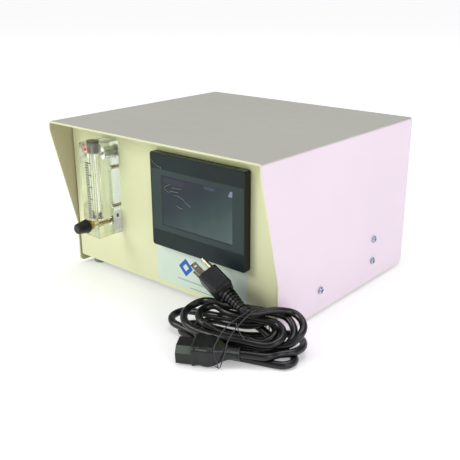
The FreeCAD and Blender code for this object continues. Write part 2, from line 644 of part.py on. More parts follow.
def barb(name, start, turn, radius, length):
    """A hose tail: a hollow stem with three ridges."""
    x, y, z = start
    sign = "+" if turn[0] == "+" else "-"
    stem = rod(name + "_stem", start, turn, f"{radius} - 0.5", length)
    base = rod(name + "_base", start, turn, f"{radius} + 1.2", "2.5")
    ridges = []
    for i in range(3):
        at = (x, f"{y} {sign} ({length}) * (0.3 + {i} * 0.22)", z)
        ridges.append(cone(f"{name}_ridge_{i}", at, turn, radius, f"{radius} - 0.5", f"({length}) * 0.2"))
    hole = rod(name + "_hole", start, turn, "1.6", length)
    return cut(name, fuse(name + "_solid", stem, base, *ridges), hole)


def make_flow_valve():
    """The needle's stem, which travels along its thread, and the ribbed knob with its set screw."""
    start = ("flow_x", f"{KNOB_BACK} - stem_in_knob", "port_low")
    stem = rod("stem_shaft", start, "+y", "stem_round", "stem_in_knob + knob_gap + stem_in_valve")
    shoulder = ("flow_x", f"{PORT_Y} + stem_in_valve", "port_low")
    point = cone("stem_point", shoulder, "+y", "stem_round", "0.2", "4")
    keep(fuse("needle_stem", stem, point), "needle_stem")

    knob = Piece("flow_knob")
    profile = [
        ("0", "stem_round + 0.05"), ("0", "knob_round - 1.2"), ("-0.9", "knob_round - 0.2"),
        ("-2.4", "knob_round"),
        ("1.6 - knob_long", "knob_tip_round"), ("0.5 - knob_long", "knob_tip_round - 0.6"),
        ("-knob_long", "knob_tip_round - 2"), ("-knob_long", "0"), ("-stem_in_knob - 0.05", "0"),
        ("-stem_in_knob - 0.05", "stem_round + 0.05"),
    ]
    knob.revolve("side", ("flow_x", KNOB_BACK, "port_low"), profile)
    groove = knob.pocket("front", ("flow_x", KNOB_BACK, "port_low"), "knob_long - 2.2", -1,
                         circles=[("knob_round + 0.25", "0", "0.7")])
    knob.repeat_round(groove, 24)
    screw_y = f"{KNOB_BACK} - stem_in_knob / 2"
    knob.pocket("flat", ("flow_x", screw_y, "port_low"), "10", 1, circles=[("0", "0", "1.3")])
    grub = rod("grub", ("flow_x", screw_y, "port_low + stem_round + 0.1"), "+z", "1.25", "3.5")
    keep(grub, "knob_set_screw")


# ------------------------------------------------------------------------------------------- rear ports

def make_inlet():
    """The mains inlet module: housing, contact pins, power rocker, fuse drawer and its fuse."""
    low = "inlet_low"
    left = "(inlet_x - inlet_wide / 2)"
    flange_top = "(inlet_low + inlet_tall)"
    outside = f"({REAR} + inlet_flange)"
    flange = box("inlet_flange", (left, REAR, low), ("inlet_wide", "inlet_flange", "inlet_tall"))
    flange = rounded("inlet_flange_round", flange, "2.5", lambda edge: along(edge, "y"))
    tub = box("inlet_tub", (f"{left} + 2.2", f"{REAR} - inlet_deep", f"{low} + 2.2"),
              ("inlet_wide - 4.4", "inlet_deep", "inlet_tall - 4.4"))
    socket = box("inlet_socket", ("inlet_x - socket_wide / 2", f"{outside} - socket_deep", f"{low} + 5"),
                 ("socket_wide", "socket_deep", "socket_tall"))
    drawer_low = f"({low} + 25.5)"
    drawer = box("drawer_bay", ("inlet_x - drawer_wide / 2 - 0.3", f"{outside} - drawer_deep - 0.5",
                                f"{drawer_low} - 0.3"),
                 ("drawer_wide + 0.6", "drawer_deep + 0.5", "drawer_tall + 0.6"))
    rocker_mid = f"({low} + 51)"
    bay_low = f"{rocker_mid} - rocker_tall / 2 - 1.2"
    bay = box("rocker_bay", ("inlet_x - rocker_wide / 2 - 0.4", f"{outside} - 12", bay_low),
              ("rocker_wide + 0.8", "12", "rocker_tall + 2.4"))
    keep(cut("inlet_housing", fuse("inlet_solid", flange, tub), socket, drawer, bay), "inlet_housing")

    pins = []
    floor_y = f"({outside} - socket_deep)"
    for i, (x, z) in enumerate((("-7", "11"), ("7", "11"), ("0", "15"))):
        corner = (f"inlet_x + {x} - 1", floor_y, f"{low} + {z}")
        pins.append(box(f"pin_{i}", corner, ("2", "socket_deep - 5.2", "4")))
    group("inlet_pins", *pins)

    rocker = Piece("power_rocker")
    half = "(rocker_tall / 2)"
    profile = [
        ("2.6", f"-{half}"), ("1.1", "0"), ("4.6", half), ("-2", half), ("-6.5", "3"), ("-6.5", "-3"),
        ("-2", f"-{half}"),
    ]
    rocker.pad("side", ("inlet_x", outside, rocker_mid), "rocker_wide", 0, [profile])

    side = "inlet_x - drawer_wide / 2"
    front = box("drawer_front", (side, f"{outside} - 1", drawer_low), ("drawer_wide", "1.6", "drawer_tall"))
    tongue = box("drawer_tongue", (side, f"{outside} - drawer_deep", drawer_low),
                 ("drawer_wide", "drawer_deep", "drawer_tall"))
    cradle = box("drawer_cradle", ("inlet_x - 3", f"{outside} - drawer_deep + 1.5", f"{drawer_low} + 1.4"),
                 ("6", "21", "drawer_tall"))
    grip_low = f"{drawer_low} + drawer_tall - 1.6"
    grip = box("drawer_grip", ("inlet_x - 5", f"{outside} - 0.2", grip_low), ("10", "2", "1"))
    keep(cut("fuse_drawer", fuse("drawer_solid", front, tongue), cradle, grip), "fuse_drawer")
    fuse_end = ("inlet_x", f"{outside} - drawer_deep + 2", f"{drawer_low} + 4.1")
    glass = rod("fuse_glass", fuse_end, "+y", "2.6", "20")
    keep(glass, "fuse_link")


def make_gas_ports():
    """The supply nipple and the outlet hose tail, each through the rear panel with a nut inside."""
    inlet = ("gas_x", REAR, "gas_in_z")
    nipple = rod("nipple_thread", inlet, "+y", "port_thread", "port_reach - 3")
    flange = hexagon("nipple_hex", inlet, "+y", "nut_flats", "5")
    tail = rod("nipple_tail", inlet, "-y", "port_thread", "port_tail")
    bore = rod("nipple_bore", ("gas_x", f"{REAR} - port_tail", "gas_in_z"), "+y", "port_bore",
               "port_reach + port_tail")
    keep(cut("gas_inlet_nipple", fuse("nipple_solid", nipple, flange, tail), bore), "gas_inlet_nipple")

    outlet = ("gas_x", REAR, "gas_out_z")
    hex_ = hexagon("outlet_hex", outlet, "+y", "nut_flats", "5")
    tail = rod("outlet_tail", outlet, "-y", "port_thread", "port_tail")
    hose = barb("outlet_barb", ("gas_x", f"{REAR} + 4", "gas_out_z"), "+y", "4.2", "port_reach - 4")
    bore = rod("outlet_bore", ("gas_x", f"{REAR} - port_tail", "gas_out_z"), "+y", "1.6",
               "port_reach + port_tail")
    keep(cut("gas_outlet_barb", fuse("outlet_solid", hex_, tail, hose), bore), "gas_outlet_barb")
    nuts = []
    for name in ("gas_in_z", "gas_out_z"):
        start = ("gas_x", f"{REAR} - panel_thick", name)
        nut = hexagon(name + "_hex", start, "-y", "nut_flats + 2", "nut_thick")
        hole = rod(name + "_hole", start, "-y", "port_thread + 0.05", "nut_thick")
        nuts.append(cut(name + "_nut", nut, hole))
    group("gas_port_nuts", *nuts)


# ------------------------------------------------------------------------------------------ inner parts

def inside(x, y, z):
    """A point given by its X, its distance behind the front panel's face, and its height."""
    return V(x, number("face_y") + y, z)


def route_wire(points):
    """Straight runs joined by tangent arcs; each arc takes 0.45 of the shorter run beside it."""
    edges = []
    radii = []
    last = points[0]
    for before, corner, after in zip(points, points[1:], points[2:]):
        back = (before - corner).normalize()
        ahead = (after - corner).normalize()
        reach = 0.45 * min((before - corner).Length, (after - corner).Length)
        turn = math.pi - back.getAngle(ahead)
        radius = reach / math.tan(turn / 2)
        middle = (back + ahead).normalize()
        bow = corner + middle * (radius / math.cos(turn / 2) - radius)
        start = corner + back * reach
        end = corner + ahead * reach
        edges.append(Part.LineSegment(last, start).toShape())
        edges.append(Part.Arc(start, bow, end).toShape())
        radii.append(radius)
        last = end
    edges.append(Part.LineSegment(last, points[-1]).toShape())
    return Part.Wire(edges), radii


def tube_shape(name, points, radius):
    """A round tube along a route; its volume must be its section times its length."""
    wire, radii = route_wire(points)
    circle = Part.Wire([Part.makeCircle(radius, points[0], points[1] - points[0])])
    solid = wire.makePipeShell([circle], True, True)
    wanted = math.pi * radius ** 2 * wire.Length
    if abs(solid.Volume / wanted - 1) > 0.01:
        raise ValueError(f"{name} has {solid.Volume:.0f} mm3, not {wanted:.0f}")
    smallest = min(radii, default=0) / (2 * radius)
    print(f"{name}: length {wire.Length:.0f} mm, smallest bend {smallest:.1f} diameters")
    return solid


def add_shape(label, shapes):
    item = doc.addObject("Part::Feature", label)
    item.Shape = shapes[0] if len(shapes) == 1 else Part.makeCompound(shapes)
    item.Placement = FreeCAD.Placement()
    keep(item, label)


def make_gas_train():
    """Regulator on the supply nipple, solenoid valve on the tray, and the tubing between the parts."""
    low = "regulator_low"
    block_front = f"({REAR} - port_tail - 32)"
    block = box("regulator_block", ("gas_x - regulator_half", block_front, low),
                ("2 * regulator_half", "40", "regulator_tall"))
    block = rounded("regulator_round", block, "4", lambda edge: along(edge, "z"))
    port = rod("regulator_port", ("gas_x", f"{REAR} - 6", "gas_in_z"), "-y", "port_thread + 0.05", "9")
    exit_ = rod("regulator_exit", ("gas_x", block_front, "gas_in_z"), "+y", "tube_round + 0.05", "6")
    keep(cut("regulator_body", block, port, exit_), "regulator_body")
    bonnet_z = f"({low} + regulator_tall)"
    middle = f"{block_front} + 20"
    bonnet = cone("bonnet_cone", ("gas_x", middle, bonnet_z), "+z", "bonnet_round", "bonnet_round - 4", "22")
    nut = hexagon("bonnet_nut", ("gas_x", middle, f"{bonnet_z} + 22"), "+z", "10", "5")
    keep(fuse("regulator_bonnet", bonnet, nut), "regulator_bonnet")

    floor = "(tray_low + panel_thick)"
    front = "(face_y + valve_y)"
    block = box("valve_base", ("gas_x - valve_side / 2", front, floor),
                ("valve_side", "valve_side", "valve_tall"))
    holes = [rod("valve_port", ("gas_x", y, f"{floor} + 10"), turn, "tube_round + 0.05", "6")
             for y, turn in ((front, "+y"), (f"{front} + valve_side", "-y"))]
    keep(cut("valve_block", block, *holes), "valve_block")
    coil_low = f"{floor} + valve_tall"
    coil = box("coil_block", ("gas_x - 13", f"{front} + 2", coil_low), ("26", "26", "coil_tall"))
    coil = rounded("coil_round", coil, "3", lambda edge: along(edge, "z"))
    cap = rod("coil_cap", ("gas_x", f"{front} + valve_side / 2", f"{coil_low} + coil_tall"), "+z", "5", "4")
    keep(fuse("solenoid_coil", coil, cap), "solenoid_coil")

    gas_x, flow_x = number("gas_x"), number("flow_x")
    low_z, high_z, port_z = number("port_low"), number("port_high"), number(floor) + 10
    valve_y, barb_y = number("valve_y"), 28
    rear = number(f"{REAR} - face_y")
    supply = [
        inside(gas_x, rear - 46, number("gas_in_z")), inside(gas_x, rear - 57, 124), inside(gas_x, 176, 116),
        inside(gas_x - 1, 167, 96), inside(gas_x - 1, 166, 70), inside(gas_x, 164, 46),
        inside(gas_x, 155, 30), inside(gas_x, valve_y + 30, port_z),
    ]
    metered = [
        inside(gas_x, valve_y, port_z), inside(gas_x, 92, port_z + 2), inside(gas_x + 2, 76, 32),
        inside(gas_x + 8, 62, 44), inside(gas_x + 14, 51, 60), inside(flow_x, 42, 72),
        inside(flow_x, barb_y, low_z),
    ]
    outlet = [
        inside(flow_x, barb_y, high_z), inside(flow_x, 52, 151), inside(-76, 80, 143), inside(-66, 108, 130),
        inside(-61, 136, 113), inside(-66, 164, 95), inside(-80, 190, 80), inside(-94, 213, 71.5),
        inside(gas_x, rear - 14, number("gas_out_z")),
    ]
    routes = {"supply tube": supply, "metered tube": metered, "outlet tube": outlet}
    radius = number("tube_round")
    add_shape("gas_tubing", [tube_shape(name, points, radius) for name, points in routes.items()])


def make_electrics():
    """Power supply, control board on standoffs with its relays and terminals, and the wiring."""
    floor = "(tray_low + panel_thick)"
    case = box("supply_case", ("supply_left", "face_y + supply_y", floor),
               ("supply_wide", "supply_deep", "supply_tall"))
    slots = []
    for i in range(6):
        corner = (f"supply_left + {12 + 8 * i}", "face_y + supply_y + 12", f"{floor} + supply_tall - 1")
        slots.append(box("supply_slot", corner, ("3", "46", "1")))
    keep(cut("power_supply", case, *slots), "power_supply")

    board_z = f"({floor} + standoff_tall)"
    board_top = f"({board_z} + board_thick)"
    board = box("board_sheet", ("board_left", "face_y + board_y", board_z),
                ("board_wide", "board_deep", "board_thick"))
    corners = [(x, y) for x in ("board_left + 4", "board_left + board_wide - 4")
               for y in ("face_y + board_y + 4", "face_y + board_y + board_deep - 4")]
    holes = [rod("board_hole", (x, y, board_z), "+z", "1.7", "board_thick") for x, y in corners]
    keep(cut("control_board", board, *holes), "control_board")
    group("board_standoffs", *[hexagon(f"standoff_{i}", (x, y, floor), "+z", "5.5", "standoff_tall")
                               for i, (x, y) in enumerate(corners)])
    relays = []
    for i in range(3):
        corner = (f"board_left + {28 + 22 * i}", "face_y + board_y + 26", board_top)
        relays.append(box(f"relay_{i}", corner, ("19", "15", "15")))
    strips = [box(f"strip_{i}", ("board_left + 12", y, board_top), ("86", "8", "10"))
              for i, y in enumerate(("face_y + board_y + 12", "face_y + board_y + board_deep - 12"))]
    group("board_relays", *relays, *strips)

    supply_top = number(f"{floor} + supply_tall")
    strip_top = number(f"{board_top} + 10")
    back = number(f"{REAR} - face_y - inlet_deep")
    front_strip, rear_strip = number("board_y + 16"), number("board_y + board_deep - 8")
    supply_front = number("supply_y")
    wires = []
    for i in range(3):
        x = 88 + 5 * i
        wires.append([inside(x, back, 66), inside(x - 1, back - 9, 67), inside(x - 4, back - 18, 66.5),
                      inside(x - 6, back - 25, 62), inside(x - 6.5, back - 26, supply_top)])
    for x in (60, 66):
        wires.append([inside(x, supply_front, 44), inside(x, supply_front - 7, 46),
                      inside(x + 1, supply_front - 15, 46), inside(x + 1, rear_strip, strip_top)])
    for x in (82, 86):
        wires.append([inside(x, 40, 80.5), inside(x, 48, 79.5), inside(x + 1, 55, 73), inside(x + 1, 59, 62),
                      inside(x + 1, 59.5, 49), inside(x + 1, front_strip, strip_top)])
    for i in range(2):
        side = number("gas_x") + 13
        wires.append([inside(side, 122 + 4 * i, 60), inside(side + 12, 122 + 4 * i, 61),
                      inside(-58, 119 + 4 * i, 58), inside(-36, 112 + 4 * i, 51),
                      inside(-12, 104 + 3 * i, 44),
                      inside(10, 100 + 2 * i, 44), inside(26 + 4 * i, rear_strip, 43),
                      inside(32 + 4 * i, rear_strip, strip_top)])
    radius = number("wire_round")
    add_shape("wiring_loom", [tube_shape(f"wire {i}", points, radius) for i, points in enumerate(wires)])


# ------------------------------------------------------------------------------------------- mains lead

def hank_frame():
    """Where the hank lies: its middle on the surface, turned about Z."""
    turn = FreeCAD.Rotation(V(0, 0, 1), number("hank_turn"))
    return FreeCAD.Placement(V(number("hank_x"), number("hank_y"), 0), turn)


def plug_frame():
    """The plug's frame: local X from the cord's end to the blades, local Y towards the ground pin."""
    along_plug = V(-0.922, 0.131, 0.366).normalize()
    ground = V(0.303, 0.832, 0.466)
    ground = (ground - along_plug * ground.dot(along_plug)).normalize()
    turn = FreeCAD.Rotation(along_plug, ground, along_plug.cross(ground), "XYZ")
    return FreeCAD.Placement(V(number("plug_x"), number("plug_y"), number("plug_z")), turn)


def connector_frame():
    """The connector's frame: local X from its neck to its nose, rolled a little towards the front."""
    yaw = FreeCAD.Rotation(V(0, 0, 1), number("connector_turn"))
    turn = yaw * FreeCAD.Rotation(V(1, 0, 0), number("connector_roll"))
    return FreeCAD.Placement(V(number("neck_x"), number("neck_y"), number("neck_z")), turn)


def make_hank():
    """The outer shape of the lead's loose turns, and the two short leads out of it."""
    reach = "(hank_half_long - hank_half_wide)"
    middle = box("hank_middle", (f"-{reach}", "-hank_half_wide", "0"),
                 (f"2 * {reach}", "2 * hank_half_wide", "hank_tall"))
    ends = [rod("hank_end", (x, "0", "0"), "+z", "hank_half_wide", "hank_tall") for x in (reach, f"-{reach}")]
    outer = fuse("hank_outer", middle, *ends)
    outer.Refine = True
    top = number("hank_tall")
    hank = rounded("hank_rounded", outer, "9", lambda edge: near(edge.BoundBox.ZMin, top, 0.1))
    hank.Placement = hank_frame()
    keep(hank, "cord_hank")

    plug, neck = plug_frame(), connector_frame()
    radius = number("cord_round")
    plug_lead = [plug.multVec(V(0, 0, 0)), plug.multVec(V(-10, 0, 0)), plug.multVec(V(-21, 2, 2))]
    add_shape("cord_lead_plug", [tube_shape("plug lead", plug_lead, radius)])
    neck_lead = [neck.multVec(V(0, 0, 0)), neck.multVec(V(-11, 0, 0)), neck.multVec(V(-22, -2.5, -1))]
    add_shape("cord_lead_connector", [tube_shape("connector lead", neck_lead, radius)])


def make_plug():
    """Three-prong mains plug: ribbed relief, rounded body, two flat blades and a round ground pin."""
    start = "relief_long"
    core = cone("relief_core", ORIGIN, "+x", "cord_round + 0.9", "6.4", start)
    rings = [core]
    for i in range(6):
        rings.append(rod(f"relief_ring_{i}", (f"{3.6 * i}", "0", "0"), "+x", f"{5.1 + 0.5 * i}", "2.3"))
    shoulder = cone("plug_shoulder", (start, "0", "0"), "+x", "7.4", "plug_tall / 2", "6")
    body = box("plug_block", (f"{start} + 3", "-plug_wide / 2", "-plug_tall / 2"),
               ("plug_body_long - 3", "plug_wide", "plug_tall"))
    body = rounded("plug_round", body, "4", lambda edge: along(edge, "x"))
    back = number("relief_long + 3")
    body = rounded("plug_back", body, "3", lambda edge: near(edge.BoundBox.XMax, back))
    solid = fuse("mains_plug", *rings, shoulder, body)
    solid.Placement = plug_frame()
    keep(solid, "mains_plug")

    face = "(relief_long + plug_body_long)"
    blade_y, ground_y = "-5.05", "6.84"
    blades = []
    for sign in ("", "-"):
        low = f"{sign}blade_apart / 2 - blade_thick / 2"
        blade = box("blade_flat", (face, f"{blade_y} - blade_wide / 2", low),
                    ("blade_long", "blade_wide", "blade_thick"))
        hole = rod("blade_hole", (f"{face} + blade_long - 4", blade_y, low), "+z", "1.6", "blade_thick")
        blades.append(cut("blade", blade, hole))
    straight = "blade_long + ground_extra - ground_round"
    pin = rod("ground_rod", (face, ground_y, "0"), "+x", "ground_round", straight)
    tip = doc.addObject("Part::Sphere", "ground_tip")
    bind(tip, "Radius", "ground_round")
    place(tip, (f"{face} + {straight}", ground_y, "0"))
    blades.append(fuse("ground_pin", pin, tip))
    made = group("plug_blades", *blades)
    made.Placement = plug_frame()


def make_connector():
    """The lead's appliance connector: neck, grip body, and a nose with three contact slots."""
    neck = cone("neck_cone", ("0", "0", "0"), "+x", "5.2", "7", "neck_long + 4")
    ring = rod("neck_ring", ("0", "0", "0"), "+x", "6", "1.6")
    body = box("grip_block", ("neck_long", "-connector_wide / 2", "-connector_tall / 2"),
               ("connector_body_long", "connector_wide", "connector_tall"))
    body = rounded("grip_round", body, "5", lambda edge: along(edge, "x"))
    body = rounded("grip_shoulder", body, "3.5", lambda edge: near(edge.BoundBox.XMax, number("neck_long")))
    nose_start = "(neck_long + connector_body_long)"
    nose = box("nose_block", (nose_start, "-nose_wide / 2", "-nose_tall / 2"),
               ("nose_long", "nose_wide", "nose_tall"))
    top = number("nose_tall / 2")
    doc.recompute()
    chamfered = doc.addObject("Part::Chamfer", "nose_corners")
    chamfered.Base = nose
    chamfered.Edges = [(i, 5.2, 5.2) for i, edge in enumerate(nose.Shape.Edges, 1)
                       if along(edge, "x") and near(edge.BoundBox.ZMin, top)]
    slots = []
    for y, z in (("-7", "-2.6"), ("7", "-2.6"), ("0", "2.2")):
        corner = (f"{nose_start} + nose_long - 15", f"{y} - 1.3", f"{z} - 2.3")
        slots.append(box("contact_slot", corner, ("15", "2.6", "4.6")))
    solid = cut("appliance_connector", fuse("connector_solid", neck, ring, body, chamfered), *slots)
    solid.Placement = connector_frame()
    keep(solid, "appliance_connector")


def make_tie():
    """A twist tie round the hank and the connector's shoulder, its ends at the surface, front and back."""
    across = [(143, -186, 1.3), (141.5, -188.5, 9), (139.5, -186.5, 19), (137.5, -179, 28), (136, -167, 37),
              (135, -151.5, 44), (134.8, -136, 46.5), (134.6, -123, 42), (134.8, -117.5, 31),
              (135.4, -117, 16), (136, -119, 1.4)]
    points = [V(*place_) for place_ in across]
    add_shape("twist_tie", [tube_shape("twist tie", points, number("tie_round"))])


make_cover()
make_panels()
make_tray()
make_screws()
make_feet()
make_touch_panel()
make_label()
make_flow_body()
make_flow_fittings()
make_flow_valve()
make_inlet()
make_gas_ports()
make_gas_train()
make_electrics()
make_hank()
make_plug()
make_connector()
make_tie()

doc.recompute()
for item in doc.Objects:
    if {"Invalid", "Error"} & set(item.State):
        raise ValueError(f"{item.Name} failed: {item.State}")
os.makedirs("parts", exist_ok=True)
for item in nodes:
    shape = item.Shape
    if shape.isNull() or not shape.isValid():
        raise ValueError(f"{item.Label} has no valid shape")
    print(f"{item.Label:24s} solids {len(shape.Solids)} volume {shape.Volume:10.1f}")
    shape.exportStep(os.path.join("parts", item.Label + ".step"))
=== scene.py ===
import math

import bmesh
import bpy
from mathutils import Matrix, Vector


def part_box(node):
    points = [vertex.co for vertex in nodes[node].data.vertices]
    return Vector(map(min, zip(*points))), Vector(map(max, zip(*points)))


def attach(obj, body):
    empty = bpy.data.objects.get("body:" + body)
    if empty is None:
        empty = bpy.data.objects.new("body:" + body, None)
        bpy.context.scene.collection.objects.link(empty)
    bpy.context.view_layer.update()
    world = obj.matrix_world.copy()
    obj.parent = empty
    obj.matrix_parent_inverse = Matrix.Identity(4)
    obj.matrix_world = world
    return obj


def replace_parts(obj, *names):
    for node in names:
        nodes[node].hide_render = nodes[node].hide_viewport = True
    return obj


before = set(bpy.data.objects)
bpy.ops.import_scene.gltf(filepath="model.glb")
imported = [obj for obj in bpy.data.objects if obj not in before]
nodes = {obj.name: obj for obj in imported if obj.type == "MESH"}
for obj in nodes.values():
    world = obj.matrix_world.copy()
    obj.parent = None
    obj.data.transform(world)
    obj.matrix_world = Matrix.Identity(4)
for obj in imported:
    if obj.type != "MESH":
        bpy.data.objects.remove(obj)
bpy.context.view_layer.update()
mm = 0.001

# ------------------------------------------------------------------ places
CORD_ROUND = 3.7 * mm
HANK_MIDDLE = Vector((125 * mm, -147 * mm, 0))
HANK_TURN = Matrix.Rotation(math.radians(22), 3, "Z")
PLUG_END = Vector((134.9 * mm, -141 * mm, 40.6 * mm))
PLUG_ALONG = Vector((-0.922, 0.131, 0.366)).normalized()
PLUG_ACROSS = Vector((0.303, 0.832, 0.466)).normalized()
NECK_END = Vector((156 * mm, -167.5 * mm, 11.8 * mm))
NECK_TURN, NECK_ROLL = math.radians(208.8), math.radians(-8)
NECK_ALONG = Vector((math.cos(NECK_TURN), math.sin(NECK_TURN), 0))
CONNECTOR_FRAME = (Matrix.Translation(NECK_END) @ Matrix.Rotation(NECK_TURN, 4, "Z")
                   @ Matrix.Rotation(NECK_ROLL, 4, "X"))
BEZEL_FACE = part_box("hmi_bezel")[0].y
BLOCK_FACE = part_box("flow_body")[0].y
BLOCK_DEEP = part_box("flow_body")[1].y - BLOCK_FACE
# share of a clear block's look that is seen straight through, without bending
SEEN_STRAIGHT_THROUGH = 0.12
# the screen's corners on the bezel's face, as X and Z: low left and high right
SCREEN = ((5.0 * mm, 86.5 * mm), (102.0 * mm, 141.7 * mm))
# distance from one rib to the next on the bezel's top and on the plug
BEZEL_RIB_PITCH, PLUG_RIB_PITCH = 0.0016, 0.0019


# ------------------------------------------------------------------ node trees
class Shader:
    """A procedural material, built from its node tree."""

    def __init__(self, name, **values):
        self.material = bpy.data.materials.new(name)
        self.material.use_nodes = True
        self.tree = self.material.node_tree
        self.surface = self.tree.nodes["Principled BSDF"]
        for key, value in values.items():
            self.surface.inputs[key.replace("_", " ")].default_value = value
        self.where = self.add("ShaderNodeTexCoord").outputs["Object"]

    def add(self, kind, **settings):
        """A node of this kind, with its settings and its inputs' values."""
        node = self.tree.nodes.new(kind)
        for key, value in settings.items():
            if hasattr(node, key):
                setattr(node, key, value)
            else:
                node.inputs[key.replace("_", " ")].default_value = value
        return node

    def link(self, source, target):
        self.tree.links.new(source, target)

    def noise(self, scale, detail=2.0, stretch=(1, 1, 1)):
        """Noise over the object's own frame, with scale in cells a metre."""
        mapping = self.add("ShaderNodeMapping", Scale=stretch)
        self.link(self.where, mapping.inputs["Vector"])
        texture = self.add("ShaderNodeTexNoise", Scale=scale, Detail=detail)
        self.link(mapping.outputs["Vector"], texture.inputs["Vector"])
        return texture.outputs["Fac"]

    def ramp(self, source, *stops):
        """Colours along a value."""
        node = self.add("ShaderNodeValToRGB")
        elements = node.color_ramp.elements
        while len(elements) < len(stops):
            elements.new(0.5)
        for element, (position, colour) in zip(elements, stops):
            element.position = position
            element.color = (*colour, 1.0)
        self.link(source, node.inputs["Fac"])
        return node.outputs["Color"]

    def along(self, direction, origin=(0, 0, 0)):
        """Distance along a direction from a point, in metres."""
        shift = self.add("ShaderNodeVectorMath", operation="SUBTRACT")
        self.link(self.where, shift.inputs[0])
        shift.inputs[1].default_value = origin
        node = self.add("ShaderNodeVectorMath", operation="DOT_PRODUCT")
        self.link(shift.outputs["Vector"], node.inputs[0])
        node.inputs[1].default_value = direction
        return node.outputs["Value"]

    def inside(self, value, low, high, soft=0.0003):
        """1 where a value lies between two limits, fading to 0 outside them."""
        enter = self.maths("DIVIDE", self.maths("SUBTRACT", value, low), soft)
        leave = self.maths("DIVIDE", self.maths("SUBTRACT", high, value), soft)
        least = self.maths("MINIMUM", self.maths("MINIMUM", enter, leave), 1.0)
        return self.maths("MAXIMUM", least, 0.0)

    def window(self, low, high, soft=0.0003):
        """1 inside a rectangle of X and Z, given by two corners in metres."""
        x, _, z = self.axes()
        across, upward = self.inside(x, low[0], high[0], soft), self.inside(z, low[1], high[1], soft)
        return self.maths("MULTIPLY", across, upward)

    def stripes(self, value, pitch):
        """A wave from 0 to 1 along a value, with a pitch in metres."""
        wave = self.maths("SINE", self.maths("MULTIPLY", value, 2 * math.pi / pitch))
        return self.maths("MULTIPLY_ADD", wave, 0.5, 0.5)

    def maths(self, operation, *values):
        """One arithmetic node over numbers or sockets."""
        node = self.add("ShaderNodeMath", operation=operation)
        for socket, value in zip(node.inputs, values):
            if isinstance(value, (int, float)):
                socket.default_value = value
            else:
                self.link(value, socket)
        return node.outputs["Value"]

    def axes(self, source=None):
        """The X, Y and Z of a vector, the object's own coordinates unless another is given."""
        node = self.add("ShaderNodeSeparateXYZ")
        self.link(source or self.where, node.inputs["Vector"])
        return node.outputs

    def facing(self):
        """The X, Y and Z of the surface's normal in the object's own frame."""
        return self.axes(self.tree.nodes["Texture Coordinate"].outputs["Normal"])

    def mix(self, factor, a, b, blend="MIX"):
        """Two colours mixed."""
        node = self.add("ShaderNodeMix", data_type="RGBA", blend_type=blend)
        sockets = [s for s in node.inputs if s.enabled]
        for socket, value in zip(sockets, (factor, a, b)):
            if isinstance(value, (int, float)):
                socket.default_value = value
            elif isinstance(value, tuple):
                socket.default_value = (*value, 1.0)
            else:
                self.link(value, socket)
        return next(s for s in node.outputs if s.enabled)

    def colour(self, socket):
        self.link(socket, self.surface.inputs["Base Color"])

    def rough(self, source, low, high):
        """Roughness between two values, by a source."""
        node = self.add("ShaderNodeMapRange")
        node.inputs["To Min"].default_value = low
        node.inputs["To Max"].default_value = high
        self.link(source, node.inputs["Value"])
        self.link(node.outputs["Result"], self.surface.inputs["Roughness"])

    def bump(self, source, strength, distance):
        """Relief from a height source, on top of any relief before it; distance in metres."""
        node = self.add("ShaderNodeBump", Strength=strength, Distance=distance)
        self.link(source, node.inputs["Height"])
        earlier = self.surface.inputs["Normal"].links
        if earlier:
            self.link(earlier[0].from_socket, node.inputs["Normal"])
        self.link(node.outputs["Normal"], self.surface.inputs["Normal"])


def srgb(red, green, blue):
    """A colour given as it looks, 0 to 255, as linear light."""
    linear = []
    for value in (red, green, blue):
        v = value / 255
        linear.append(v / 12.92 if v <= 0.04045 else ((v + 0.055) / 1.055) ** 2.4)
    return tuple(linear)


def paint(node, shader):
    """Gives a CAD node this material."""
    materials = nodes[node].data.materials
    materials.clear()
    materials.append(shader.material)


def smooth(obj, degrees=32):
    """Shades an object smooth, except over sharp edges."""
    bpy.ops.object.select_all(action="DESELECT")
    obj.select_set(True)
    bpy.context.view_layer.objects.active = obj
    bpy.ops.object.shade_auto_smooth(angle=math.radians(degrees))
    obj.select_set(False)


# ------------------------------------------------------------------ materials
CREAM = srgb(222, 226, 184)
# painted light, these three: painted shade for right-facing faces inside the cover, painted lilac light for
# the right wall, painted shade for the top
SHADED_CREAM = srgb(196, 190, 158)
PAINTED_LILAC_LIGHT = srgb(245, 231, 240)
PAINTED_TOP_SHADE = srgb(179, 179, 168)
BLUE = srgb(24, 98, 190)
RED = srgb(176, 60, 48)


def powder_coat():
    """Off-white powder coat, cream, with painted light: painted grey shade on the top, painted lilac light
    on the right wall, and painted shade on other right-facing faces, darker toward the bottom.
    """
    s = Shader("powder_coat", Roughness=0.5, Specular_IOR_Level=0.35)
    nx, _, nz = s.facing()
    x, _, z = s.axes()
    # painted light by facing: painted lilac light on the right wall's outside, painted shade on other
    # right-facing faces, painted grey shade on the top
    right = s.ramp(nx, (0.45, (0, 0, 0)), (0.8, (1, 1, 1)))
    painted_lilac_side = s.ramp(x, (0.1, (0, 0, 0)), (0.14, (1, 1, 1)))
    top = s.ramp(nz, (0.35, (0, 0, 0)), (0.85, (1, 1, 1)))
    # painted shade on those other right-facing faces, darker toward the bottom
    painted_low_shade = s.ramp(z, (0.02, srgb(178, 173, 140)), (0.15, SHADED_CREAM))
    side = s.mix(painted_lilac_side, painted_low_shade, PAINTED_LILAC_LIGHT)
    base = s.mix(top, s.mix(right, CREAM, side), PAINTED_TOP_SHADE)
    cloudy = s.ramp(s.noise(7.0, 3.0), (0.3, (0.965, 0.965, 0.965)), (0.7, (1, 1, 1)))
    s.colour(s.mix(1.0, base, cloudy, "MULTIPLY"))
    s.rough(s.noise(60.0, 3.0), 0.42, 0.58)
    s.bump(s.noise(1900.0, 3.0), 0.10, 0.00025)
    s.bump(s.noise(260.0, 2.0), 0.05, 0.0006)
    return s


